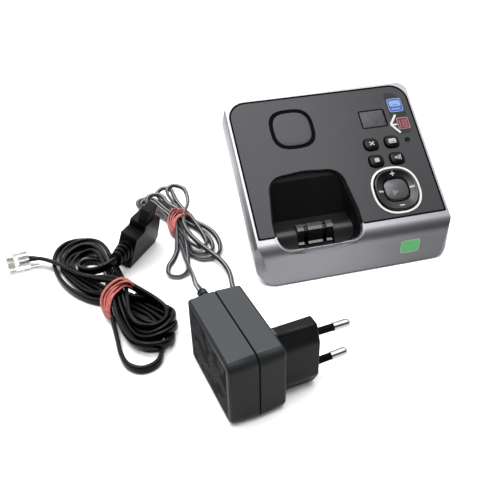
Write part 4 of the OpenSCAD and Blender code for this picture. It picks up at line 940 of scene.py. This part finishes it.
def cap_stations(half_u, half_v, crown, skirt, stem, stem_end, flange=0.0, dish=0.0):
    """From the stem's foot, over the flange and skirt, to the crown."""
    seat = skirt + FLANGE_THICK
    rings = [(stem, stem, -stem_end, 2), (stem, stem, -seat, 2),
             (half_u + flange, half_v + flange, -seat, KEY_POWER),
             (half_u + flange, half_v + flange, -skirt, KEY_POWER),
             (half_u, half_v, -skirt, KEY_POWER), (half_u, half_v, 0, KEY_POWER)]
    for inwards, upwards in shoulder(9):
        share = 1 - SHOULDER_IN * inwards
        rings.append((half_u * share, half_v * share, crown * SHOULDER_UP * upwards,
                      KEY_POWER))
    for share in (0.74, 0.62, 0.48, 0.33, 0.18, 0.07):
        domed = 1 - (share / (1 - SHOULDER_IN)) ** 2
        rings.append((half_u * share, half_v * share,
                      crown * (SHOULDER_UP + (1 - SHOULDER_UP - dish) * domed),
                      KEY_POWER - 0.7 * (1 - share)))
    return rings


print("pillow helper ready")

# %% Four small keys
KEY_U, KEY_V, PITCH_U, PITCH_V = 30.7, 42.4, 13.3, 11.2
KEYS = {"erase_key": (-1, 1), "message_key": (1, 1), "stop_key": (-1, -1),
        "speaker_key": (1, -1)}
hosts = {}
for key, (across_way, up_way) in KEYS.items():
    u, v = KEY_U + across_way * PITCH_U / 2, KEY_V + up_way * PITCH_V / 2
    bm = pillow(u, v, cap_stations(4.5, 3.9, 1.75, 2.2, 2.0, 5.0, 0.6))
    hosts[key] = BVHTree.FromBMesh(bm)
    finish_piece(key + "_cap", bm, key_gloss, key + "_body", (key,))
print("keys", len(hosts))

# %% [markdown]
# ## The navigator
# The ring tilts four ways round a centre key. Its face is a shallow dish between two
# rounded shoulders, which is what gives it curved reflections. It is one closed
# band of rings: up the outside, over the face, down the hole.

# %% Navigator
NAV_U, NAV_V, NAV_POWER = 30.7, 16.9, 2.4
RING_HALF, HOLE_U, HOLE_V, RING_FOOT = 13.3, 8.0, 7.4, -2.3
EDGE_IN, SHOULDER, EDGE_HEIGHT, FACE_HEIGHT = 0.25, 0.8, 0.9, 1.6
ring_rings = [(RING_HALF, RING_HALF, height, NAV_POWER) for height in (RING_FOOT, 0.1)]
for inwards, upwards in [(0, 0), *shoulder(7)]:
    half = RING_HALF - EDGE_IN - SHOULDER * inwards
    ring_rings.append((half, half, EDGE_HEIGHT + (FACE_HEIGHT - EDGE_HEIGHT) * upwards,
                       NAV_POWER))
for share in (0.2, 0.4, 0.6, 0.8, 1.0):
    outer = (RING_HALF - EDGE_IN - SHOULDER) * (1 - share)
    ring_rings.append((outer + (HOLE_U + 0.4) * share, outer + (HOLE_V + 0.4) * share,
                       FACE_HEIGHT - 1.15 * share ** 0.8, NAV_POWER + 0.5 * share))
ring_rings += [(HOLE_U + grow, HOLE_V + grow, height, KEY_POWER)
               for grow, height in ((0.12, 0.36), (0, 0.1), (0, RING_FOOT))]
bm = pillow(NAV_U, NAV_V, ring_rings, 96, close=False)
hosts["navigator_ring"] = BVHTree.FromBMesh(bm)
finish_piece("navigator_ring_face", bm, ring_gloss, "navigator_ring_body",
             ("navigator_ring",))
bm = pillow(NAV_U, NAV_V, cap_stations(7.5, 6.9, 1.3, 4.0, 3.0, 5.0, dish=0.1), 72)
hosts["play_button"] = BVHTree.FromBMesh(bm)
finish_piece("play_button_cap", bm, play_gloss, "play_button_body",
             ("play_button",))
print("navigator ready")

# %% [markdown]
# ## The adapter's case
# The case is two deep trays that meet at a seam and are welded. Their near corners are
# round and their far corners tight, which the imported halves leave out. Each tray is
# lofted as one skin: inside from its floor to the rim, over the rim, and outside back
# to the face. A near-black tongue in the seam is painted shade, for the shade inside
# it, and the plug body grows from the front.

# %% Adapter frame
ADAPTER_TURN = math.radians(9.5)
ADAPTER_AT = Vector((-53.9, -80, 0))
SEAM, CASE_NEAR, CASE_FAR, CASE_H, WALL = -32.2, -13.0, 37.6, 36.4, 2.0
SEAM_HALF, SHOULDER_R, FACE_IN = 0.3, 1.7, 0.7


def at_adapter(x, y, z):
    """X along the pins, Y towards the cord and Z up, in the adapter's own frame."""
    spot = Matrix.Rotation(ADAPTER_TURN, 3, "Z") @ Vector((x, y, z)) + ADAPTER_AT
    return level(*spot)


def case_ring(x, inset):
    """One section of the case. Its near corners are round, its far ones tight."""
    outline = plate(CASE_H / 2 - inset, CASE_NEAR + inset, CASE_FAR - inset,
                    max(0.6, 5 - inset), max(0.4, 1.7 - inset), 8)
    return [at_adapter(x, y, CASE_H / 2 + z) for z, y in outline]


def case_loft(stations, close=True):
    return loft([case_ring(x, inset) for x, inset in stations], close)


def tray(side, depth):
    """Inside floor, inside rim, outside rim, rounded shoulder and face."""
    face = SEAM + side * depth
    rim = SEAM + side * SEAM_HALF
    stations = [(face - side * WALL, WALL + 0.8), (rim, WALL), (rim, 0.15),
                (rim + side * 0.15, 0.0), (face - side * SHOULDER_R, FACE_IN)]
    stations += [(face - side * SHOULDER_R * (1 - upwards), FACE_IN + SHOULDER_R * inwards)
                 for inwards, upwards in shoulder(6)]
    return case_loft(stations)


print("adapter frame ready")

# %% The adapter's finish
BACK_DEPTH, FRONT_DEPTH = 13.7, 13.2


def painted_top_light_black_nose(paint, base):
    """Upward faces are painted paler, as painted light from above; the plug body is
    blacker.
    """
    upwards = paint.axis(paint.node("NewGeometry", out="True Normal"), 2)
    along = paint.axis(paint.place((1, 1, 1), (0, 0, ADAPTER_TURN),
                                   level(*ADAPTER_AT) / MM), 0)
    nose = along.step(SEAM + FRONT_DEPTH - 0.1, SEAM + FRONT_DEPTH + 0.1)
    # Painted light: the upward faces are painted paler.
    lightened = paint.mix(base, tint("#55585b"), upwards.step(0.955, 0.99) * 0.85)
    return paint.mix(lightened, tint("#101112"), nose)


finishes["adapter"] = moulded("adapter shell", "#26282a", 0.4, 0.5, 0.09, edge=0.3,
                              rub=0.08, speck=0.2, shade=painted_top_light_black_nose,
                              Specular_IOR_Level=0.1)
print("adapter shell ready")


# %% The bare rating panel's finish
ROW_PITCH = 1.7


def painted_relief_highlights(paint, base):
    """Short strokes in rows, as fine as small print and no more readable: painted
    highlights of relief.
    """
    spot = paint.place((1, 1, 1), (0, 0, ADAPTER_TURN))
    height = paint.axis(spot, 2)
    row = height.maths("PINGPONG", ROW_PITCH / 2).step(0.34, 0.42)
    stroke = paint.noise(0.42, 1, spot).step(0.47, 0.53)
    patch = paint.noise(8, 1).step(0.44, 0.5)
    return paint.mix(base, tint("#75777a"), row * stroke * patch * 0.75)


label_rough = moulded("label rough", "#1d1e20", 0.85, 0.6, 0.1, rub=0.2, speck=0.1,
                      shade=painted_relief_highlights, Specular_IOR_Level=0.05)
print("rating panel finish ready")

# %% Two trays, tongue and plug body
PLUG_HALF_W, PLUG_HALF_T, PLUG_SLANT, PLUG_NECK = 17.65, 6.85, 7.7, 3.0
CORNER_CUT, CORNER_BULGE = 1.1, 0.3


def plug_ring(x, inset):
    """The flat plug body's eight-sided section, its long corners slanted."""
    half_w, half_t = PLUG_HALF_W - inset, PLUG_HALF_T - inset
    slanted = half_w - PLUG_SLANT
    corners = [Vector(corner) for corner in (
        (-PLUG_NECK, -half_w), (PLUG_NECK, -half_w), (half_t, -slanted),
        (half_t, slanted), (PLUG_NECK, half_w), (-PLUG_NECK, half_w),
        (-half_t, slanted), (-half_t, -slanted))]
    ring = []
    for k, here in enumerate(corners):
        back, ahead = ((corners[way] - here).normalized() for way in (k - 1, (k + 1) % 8))
        ring += [here + back * CORNER_CUT, here + (back + ahead) * CORNER_BULGE,
                 here + ahead * CORNER_CUT]
    return [at_adapter(x, -y, CASE_H / 2 + z) for y, z in ring]


shell = finishes["adapter"]
finish_piece("adapter_label_tray", tray(-1, BACK_DEPTH), shell, "base",
             ("adapter_back",), flat_over=1.6)
# Painted shade: a near-black tongue stands for the shade inside the seam.
finish_piece("adapter_seam_tongue", case_loft(
    [(SEAM - 0.7, 0.7), (SEAM + 0.7, 0.7), (SEAM + 0.7, 1.9), (SEAM - 0.7, 1.9)],
    close=False), sleeve_black_seam_shade, "base")
bm = loft([plug_ring(x, inset) for x, inset in (
    (SEAM + FRONT_DEPTH - 1.5, 0), (-0.7, 0), (-0.25, 0.15), (0, 0.6))],
    bm=tray(1, FRONT_DEPTH))
finish_piece("adapter_plug_tray", bm, shell, "base", ("adapter_front",),
             flat_over=1.6)
label_face = SEAM - BACK_DEPTH
finish_piece("adapter_label_panel", case_loft(
    [(label_face + 0.3, 3.6), (label_face - 0.05, 3.6), (label_face - 0.12, 3.9)]),
    label_rough, "base")
print("adapter case ready")

# %% [markdown]
# ## Printed marks
# Marks are pad-printed: a film of pale ink that follows the key's dome. Each is drawn
# flat from bars, discs and rounded tiles, given a hair of thickness, and dropped on
# the surface under it along the panel's normal. A texture would blur at this
# size, and a film of real thickness casts the faint edge that ink has.

# %% Ink and drawing helpers
def ink(name, colour, rough=0.45, shine=0.25):
    paint = Paint(name, Specular_IOR_Level=shine)
    worn = paint.noise(0.35, 3, rough=0.7)
    paint.feed("Base Color", paint.mix(tint(colour), tint(colour, 0.72),
                                       worn.step(0.5, 0.8)))
    paint.feed("Roughness", rough + worn * 0.15)
    paint.feed("Normal", paint.bump(worn, 0.01, 0.6))
    return paint


def bar(bm, start, end, width, lift=0.0):
    (a, b), (c, d) = start, end
    run = math.hypot(c - a, d - b)
    place = (Matrix.Translation(((a + c) / 2, (b + d) / 2, lift))
             @ Matrix.Rotation(math.atan2(d - b, c - a), 4, "Z")
             @ Matrix.Diagonal((run / 2, width / 2, 1, 1)))
    bmesh.ops.create_grid(bm, x_segments=6, y_segments=2, size=1, matrix=place)


def ring_mark(bm, u, v, radius, hole):
    made = bmesh.ops.create_circle(bm, cap_ends=True, segments=24, radius=radius,
                                   matrix=Matrix.Translation((u, v, 0)))["verts"]
    face = made[0].link_faces[0]
    bmesh.ops.inset_region(bm, faces=[face], thickness=radius - hole)
    bmesh.ops.delete(bm, geom=[face], context="FACES_ONLY")


def tile(bm, u, v, half_u, half_v, power, slant=0.0, lift=0.0):
    """A filled rounded tile. slant leans its top to the right."""
    ring = bmesh.ops.create_circle(bm, cap_ends=True, segments=40, radius=1)["verts"]
    for vert, (a, b) in zip(ring, squared(40, half_u, half_v, power)):
        vert.co = (u + a + b * slant, v + b, lift)
    bmesh.ops.inset_region(bm, faces=[ring[0].link_faces[0]], thickness=half_v * 0.3)


def corner_face(bm, points):
    bm.faces.new([bm.verts.new((u, v, 0)) for u, v in points])


INK_THICK, LONG_EDGE, DROP_FROM = 0.1, 1.2, 12


def print_mark(name, host, body, draw, paint, over=0.03):
    """Draw a mark flat, give it thickness and drop it on its host."""
    bm = bmesh.new()
    draw(bm)
    bmesh.ops.triangulate(bm, faces=bm.faces)
    edges = [e for e in bm.edges if e.calc_length() > LONG_EDGE]
    bmesh.ops.subdivide_edges(bm, edges=edges, cuts=2, use_grid_fill=True)
    bmesh.ops.solidify(bm, geom=list(bm.faces), thickness=-INK_THICK)
    for vert in bm.verts:
        u, v, w = vert.co
        hit = host.ray_cast(slope(u, v, DROP_FROM), -OFF_PANEL)[0] if host else None
        vert.co = (hit or slope(u, v)) + OFF_PANEL * (w + over) * MM
    finish_piece(name, bm, paint, body, smooth=False)


key_ink = ink("key ink", "#c9cacc")
white_ink = ink("white ink", "#f6f6f7", 0.4)
smoke_ink = ink("smoke ink", "#7d8286", 0.3)
dark_ink = ink("dark ink", "#17171a")
print("ink ready")


# %% Marks on the keys
LEFT_U, RIGHT_U = KEY_U - PITCH_U / 2, KEY_U + PITCH_U / 2
UPPER_V, LOWER_V = KEY_V + PITCH_V / 2, KEY_V - PITCH_V / 2
CROSSING = 0.012


def cross_mark(bm):
    u, v = LEFT_U, UPPER_V
    bar(bm, (u - 1.35, v - 1.15), (u + 1.35, v + 1.15), 0.75)
    bar(bm, (u - 1.35, v + 1.15), (u + 1.35, v - 1.15), 0.75, CROSSING)


def reel_mark(bm):
    tile(bm, RIGHT_U, UPPER_V, 2.4, 1.55, 6)


def reels(bm, u, v, apart, radius, hole, rise, drop, width):
    """Two tape reels and the tape under them."""
    for way in (-apart, apart):
        ring_mark(bm, u + way, v + rise, radius, hole)
    bar(bm, (u - apart, v - drop), (u + apart, v - drop), width)


def reel_eyes(bm):
    reels(bm, RIGHT_U, UPPER_V, 1.1, 0.78, 0.4, 0.15, 0.75, 0.3)


def stop_mark(bm):
    tile(bm, LEFT_U, LOWER_V, 1.45, 1.3, 9)


def speaker_mark(bm):
    u, v = RIGHT_U, LOWER_V
    corner_face(bm, [(u - 2.3, v - 0.05), (u - 0.6, v - 1.0), (u - 0.6, v + 0.9)])
    for step, half in ((0.1, 1.15), (0.95, 1.4), (1.8, 1.65)):
        bar(bm, (u + step - 0.1, v - half), (u + step + 0.1, v + half), 0.5)


for name, key, draw, paint, over in (
        ("cross_mark", "erase_key", cross_mark, key_ink, 0.03),
        ("reel_mark", "message_key", reel_mark, key_ink, 0.03),
        ("reel_eyes", "message_key", reel_eyes, dark_ink, 0.06),
        ("stop_mark", "stop_key", stop_mark, key_ink, 0.03),
        ("speaker_mark", "speaker_key", speaker_mark, key_ink, 0.03)):
    print_mark(name, hosts[key], key + "_body", draw, paint, over=over)
print("key marks ready")


# %% Marks on the navigator
def direction_marks(bm):
    bar(bm, (29.5, 27.1), (32.3, 27.1), 0.5)
    bar(bm, (30.9, 25.7), (30.9, 28.5), 0.5, CROSSING)
    bar(bm, (29.4, 6.7), (32.5, 6.7), 0.55)
    for start, way, v in ((39.2, 1, 17.2), (22.3, -1, 16.9)):
        for step in (0, 1.2):
            u = start + way * step
            corner_face(bm, [(u, v + 0.75), (u, v - 0.75), (u + way * 1.15, v)][::way])
        end = start + way * 2.55
        bar(bm, (end, v - 0.75), (end, v + 0.75), 0.35)


def play_mark(bm):
    corner_face(bm, [(27.2, 16.9), (27.7, 12.9), (31.6, 15.6)])


print_mark("direction_marks", hosts["navigator_ring"], "navigator_ring_body",
           direction_marks, white_ink)
print_mark("play_mark", hosts["play_button"], "play_button_body", play_mark, smoke_ink)
print("navigator marks ready")

# %% [markdown]
# ## Shadow lines and lips
# Where two mouldings meet there is a gap, and it reads as a crisp black line, because
# little light gets in. The frame's gap is finer than such a line looks, so a thin
# near-black band is laid over it as painted shadow, and rings of painted shade lie
# round the window's recess and in the microphone's dimple. The cradle's mouth has a
# bright lip, a painted highlight where the silver coat turns over a sharp edge, and a
# silver backing under it closes the slot that the cradle's wall passes through. Each
# line is a narrow band between two outlines.

# %% Outlines
def band_between(bm, inner, outer, closed=True):
    """A flat band between two outlines with the same number of points."""
    one, two = ([bm.verts.new((u, v, 0)) for u, v in ring] for ring in (inner, outer))
    if closed:
        one.append(one[0])
        two.append(two[0])
    for k in range(len(one) - 1):
        bm.faces.new((one[k], two[k], two[k + 1], one[k + 1]))


def moved(outline, u, v):
    return [(u + a, v + b) for a, b in outline]


surfaces = bmesh.new()
for part in ("upper_frame", "top_panel", "cradle_liner"):
    surfaces.from_mesh(nodes[part].data)
outside = BVHTree.FromBMesh(surfaces)
print("the outside has", len(surfaces.faces), "faces")
surfaces.free()

# %% Painted shadow round the panel, window and microphone
PANEL_HALF, PANEL_BACK, PANEL_CORNER = 56.5, 86.5, 10.1
CRADLE_U, CRADLE_HALF, CRADLE_CORNER, CRADLE_LIP = -21.1, 26.2, 8.1, 8.6
# Painted shadow: a near-black ink for the panel's gap, the window's recess, the
# microphone's dimple and the locator's surround.
painted_shadow_black = ink("gasket black", "#060607", 0.6, 0.03)


def panel_shadow_line(bm):
    """A painted shadow line round the panel, broken where the cradle's mouth crosses its
    front edge.
    """
    loops = []
    for grow in (-0.45, 0.6):
        loop = plate(PANEL_HALF + grow, -grow, PANEL_BACK + grow, 1, PANEL_CORNER + grow)
        front_right = len(loop) * 3 // 4
        left = (CRADLE_U - CRADLE_HALF - 0.2, -grow)
        right = (CRADLE_U + CRADLE_HALF + 0.2, -grow)
        loops.append([right, *loop[front_right:], *loop[:front_right], left])
    band_between(bm, *loops, closed=False)


def window_frame(bm):
    band_between(bm, moved(plate(7.7, -5.6, 5.6, 0.6, 0.6, 6), 30.5, 65.2),
                 moved(plate(8.5, -6.2, 6.1, 1.3, 1.3, 6), 30.55, 65.15))


def microphone_rim(bm):
    band_between(bm, moved(squared(32, 1.15, 1.15, 2), 47.85, 48.05),
                 moved(squared(32, 1.6, 1.6, 2), 47.95, 48.15))


for name, draw, over in (("panel_gasket", panel_shadow_line, 0.04),
                         ("window_frame", window_frame, 0.03),
                         ("microphone_rim", microphone_rim, 0.03)):
    print_mark(name, None, "base", draw, painted_shadow_black, over)
print("shadow lines ready")

# %% Cradle floor
BLOCK_SIDE, TUCK_AT, TUCK = 10.95, 3.0, 5.0 / 19
BOWL = ((7.5, -9.85), (5.2, -9.1), (3.3, -8.5), (2.2, -8.55), (1.0, -9.0), (-0.3, -9.7),
        (-1.7, -10.4), (-3.2, -11.0), (-4.8, -11.45), (-6.3, -11.75))
BOWL_UNDER = ((-6.5, -12.05), (-2.2, -13.35), (2.95, -8.6))
BOWL_OVERLAP = 0.4


def pocket_half(v, w):
    """Half the pocket's width at a depth. It draws in below and at its corners."""
    tuck = TUCK * (TUCK_AT - w)
    r = CRADLE_CORNER - tuck / 2
    past = max(0.0, CRADLE_CORNER - CRADLE_LIP - v)
    return (CRADLE_HALF - CRADLE_CORNER - tuck / 2
            + math.sqrt(max(0.0, r * r - past * past)))


def bowl_spot(way, share, v, w):
    """A point of the floor, a share of the way from the block to the wall."""
    wall = pocket_half(v, w) + BOWL_OVERLAP
    return slope(CRADLE_U + way * (BLOCK_SIDE + share * (wall - BLOCK_SIDE)), v, w)


# Painted light: the floor pieces are painted lighter than the liner round them.
for side, way in (("left", -1), ("right", 1)):
    rings = [[bowl_spot(way, share, v, w) for v, w in BOWL + BOWL_UNDER]
             for share in (0, 0.02, 0.35, 0.7, 0.97, 1)]
    finish_piece("cradle_floor_" + side, loft(rings), floor_black_painted_light, "base")
print("cradle floor ready")


# %% Backing under the lip
BESIDE_U = 18


def roll_height(v):
    """How far the roll falls below the panel's plane, measured beside the cradle."""
    hit = outside.ray_cast(slope(BESIDE_U, v, DROP_FROM), -OFF_PANEL)[0]
    return (hit - slope(BESIDE_U, v)).dot(OFF_PANEL) / MM


BACKED = [-8.7 - 0.4 * step for step in range(11)]
rings = [[slope(CRADLE_U + u, v, roll_height(v) - drop)
          for drop, run in ((0.1, BACKED), (0.6, BACKED[::-1])) for v in run]
         for u in (-20.5, -6, 6, 20.5)]
finish_piece("lip_backing", loft(rings), silver, "base")
print("backing has", len(BACKED), "steps")


# %% Cradle lip, a painted highlight
def mouth(grow):
    """The lower part of the cradle's mouth, grown outwards."""
    r = CRADLE_CORNER + grow
    half = CRADLE_HALF - CRADLE_CORNER
    v = CRADLE_CORNER - CRADLE_LIP
    straight = [(CRADLE_U + half * (k / 12 - 1), v - r) for k in range(1, 24)]
    return (quarter(CRADLE_U - half, v, r, 180, 16) + straight
            + quarter(CRADLE_U + half, v, r, 270, 16))


def lip(bm):
    band_between(bm, mouth(0.05), mouth(0.5), closed=False)


# Painted highlight: a near-white band along the mouth's lower edge, where the silver edge
# catches the light.
print_mark("cradle_lip", outside, "base", lip, ink("lip bright", "#e4e4e8", 0.3),
           over=0.06)
print("lip ready")

# %% [markdown]
# ## Stickers on the panel and the frame
# A dark film carries a blue tile, a red tile with a plain number and a white arrow
# towards the window. A green tile sits on the frame's front face. Each is a thin
# sheet with rounded corners, laid in layers like the real printed stack.

# %% Panel stickers
inks = {name: ink(name + " ink", colour, 0.4) for name, colour in (
    ("blue", "#2a56b4"), ("pale blue", "#a9bce6"), ("sky", "#8fb4f2"),
    ("navy", "#24427e"), ("red", "#6d1c2b"), ("rose", "#c3a3a0"), ("digit", "#b0596b"),
    ("green", "#76df8d"), ("pale green", "#c9e8c9"))}
film_ink = ink("film ink", "#202123", 0.4, 0.15)


def film(bm):
    corner_face(bm, [(41.7, 80.2), (42.4, 81.4), (44.2, 81.9), (46.9, 81.4),
                     (49.6, 79.8), (51.6, 77.2), (52.6, 74.0), (52.7, 56.0),
                     (52.0, 53.6), (50.2, 52.6), (43.4, 52.6), (42.2, 54.0)])


def digits(bm):
    v, tall = 59.3, 2.5
    bar(bm, (46.55, v - tall), (46.55, v + tall), 0.75)
    for u in (48.65, 50.75):
        bar(bm, (u, v - tall), (u, v + tall), 0.7)
    for step in (-tall + 0.35, 0, tall - 0.35):
        bar(bm, (48.65, v + step), (50.75, v + step), 0.6, CROSSING)


def arrow(bm):
    tip = (40.6, 59.7)
    bar(bm, tip, (45.3, 65.9), 1.35)
    bar(bm, tip, (45.1, 53.4), 1.4, CROSSING)
    bar(bm, (41.2, 59.4), (44.6, 59.2), 1.05, 2 * CROSSING)


def tile_reels(bm):
    reels(bm, 47.3, 73.8, 1.6, 1.25, 0.75, 0.1, 1.1, 0.4)


def caption(bm):
    for step in range(5):
        u = 44.6 + step * 1.2
        tile(bm, u, 69.85 + 0.1 * (step % 2), 0.5, 0.5 + 0.12 * (step % 2), 3)


def flat_tile(u, v, half_u, half_v, power):
    return lambda bm: tile(bm, u, v, half_u, half_v, power)


for name, draw, paint, over in (
        ("sticker_film", film, film_ink, 0.02),
        ("blue_edge", flat_tile(47.25, 72.6, 4.65, 4.75, 7), inks["pale blue"], 0.05),
        ("blue_tile", flat_tile(47.25, 72.6, 4.3, 4.35, 7), inks["blue"], 0.08),
        ("blue_reels", flat_tile(47.3, 73.7, 3.6, 2.1, 6), inks["sky"], 0.11),
        ("blue_rings", tile_reels, inks["navy"], 0.14),
        ("blue_caption", caption, inks["sky"], 0.11),
        ("red_edge", flat_tile(48.75, 59.6, 3.75, 3.95, 12), inks["rose"], 0.05),
        ("red_tile", flat_tile(48.75, 59.6, 3.4, 3.6, 12), inks["red"], 0.08),
        ("red_digits", digits, inks["digit"], 0.11),
        ("arrow_mark", arrow, white_ink, 0.05)):
    print_mark(name, None, "base", draw, paint, over=over)
print("panel stickers ready")

# %% [markdown]
# The green tile lies on the front face, which leans back by ten degrees. It is drawn
# with the same helpers and then turned onto that face in one transform.

# %% Front sticker
FRONT_LEAN = math.radians(80)
FRONT_AT = Vector((31.9, -43.26, 11.0)) * MM


def front_tile(name, half_u, half_v, paint, over):
    bm = bmesh.new()
    tile(bm, 0, 0, half_u, half_v, 7, 0.12, over)
    bmesh.ops.solidify(bm, geom=list(bm.faces), thickness=-INK_THICK)
    bmesh.ops.transform(bm, verts=bm.verts, matrix=Matrix.Translation(FRONT_AT)
                        @ Matrix.Rotation(FRONT_LEAN, 4, "X")
                        @ Matrix.Diagonal((MM, MM, MM, 1)))
    finish_piece(name, bm, paint, "base", smooth=False)


front_tile("green_edge", 6.0, 3.9, inks["pale green"], 0.04)
front_tile("green_tile", 5.6, 3.5, inks["green"], 0.07)
print("front sticker ready")

# %% [markdown]
# ## Every node gets its finish
# The record names a material slot for each node, and each slot has a finish above. A
# few pieces share a slot but look different, so they have a finish of their own. Some
# of those are painted light and shade: the contact ribs are painted lighter, the
# contacts in the cradle and in the wall plug get a darkened nickel, and the locator's
# surround gets the near-black ink of the shadow lines. One loop hands them all out, so
# no node can be forgotten.

# %% Hand out the finishes
finishes["grey_cord"], finishes["black_cord"] = grey_vinyl, black_vinyl
finishes["band"] = rubber_band
# Painted light and shade: lighter ribs, darkened nickel on the contacts and near-black ink
# on the locator's surround.
own = {"contact_left": nickel_painted_shade, "contact_right": nickel_painted_shade,
       "contact_block": rib_black_painted_light, "cradle_liner": liner_black,
       "locator_surround": painted_shadow_black, "wall_plug": plug_black,
       "wall_plug_boot": plug_black, "wall_plug_contacts": nickel_painted_shade,
       "modular_contacts": pale_gold, "pin_sleeve_upper": sleeve_black_seam_shade,
       "pin_sleeve_lower": sleeve_black_seam_shade}
for name, node in nodes.items():
    for place in node.material_slots:
        shared = finishes[place.material.name.split(".")[0]]
        place.material = own.get(name, shared).material
print("painted", len(nodes), "nodes with", len(finishes), "finishes")

# %% [markdown]
# ## Floor and light
# The object stands on a plain pale floor under soft light: a wide, weak sun from
# behind, a softbox high on the left and one overhead, and a sky that is bright above
# and darker low in front. The dark part draws the dark band along the silver roll.

# %% Floor
bm = bmesh.new()
bmesh.ops.create_grid(bm, x_segments=1, y_segments=1, size=3)
floor_mesh = bpy.data.meshes.new("floor")
bm.to_mesh(floor_mesh)
bm.free()
floor = bpy.data.objects.new("floor", floor_mesh)
bpy.context.scene.collection.objects.link(floor)
floor_paint = Paint("floor white", Roughness=0.7)
floor_paint.feed("Base Color", floor_paint.mix(grey(0.76), grey(0.78),
                                               floor_paint.noise(300, 2)))
floor.data.materials.append(floor_paint.material)
print("floor is", round(floor.dimensions.x, 1), "m wide")

# %% Sky and lamps
world = bpy.data.worlds.new("studio")
bpy.context.scene.world = world
sky = Nodes(world, "Background")
way = sky.node("TexCoord", out="Generated")
height = sky.axis(way, 2)
behind = sky.node("ValToRGB", {"stops": ((0, 0.42), (0.5, 0.45), (0.85, 0.8), (1, 1))},
                  {0: height})
before = sky.node("ValToRGB", {"stops": ((0, 0.1), (0.25, 0.04), (0.65, 0.06),
                                         (0.9, 0.55), (1, 1))}, {0: height})
in_front = sky.node("MapRange", sockets={"Value": sky.axis(way, 1), "From Min": -0.1,
                                         "From Max": -0.45})
sky.feed("Color", sky.mix(behind, before, in_front))
sky.feed("Strength", 2.8)


def lamp(name, kind, place, aim, **settings):
    data = bpy.data.lights.new(name, kind)
    for key, value in settings.items():
        setattr(data, key, value)
    made = bpy.data.objects.new(name, data)
    made.location = place
    made.rotation_euler = (Vector(aim) - Vector(place)).to_track_quat("-Z", "Y").to_euler()
    bpy.context.scene.collection.objects.link(made)


lamp("key_sun", "SUN", (-0.15, 0.1, 1.6), (0, 0, 0), energy=1.2, angle=1.5)
lamp("softbox", "AREA", (-0.3, 0.1, 0.75), (-0.04, -0.02, 0.03), energy=3.6, size=0.28)
lamp("overhead", "AREA", (0.115, -0.126, 0.716), (0.031, -0.021, 0.037), energy=2.2,
     size=0.32)
bpy.context.scene.view_settings.view_transform = "Standard"
print("lamps ready")
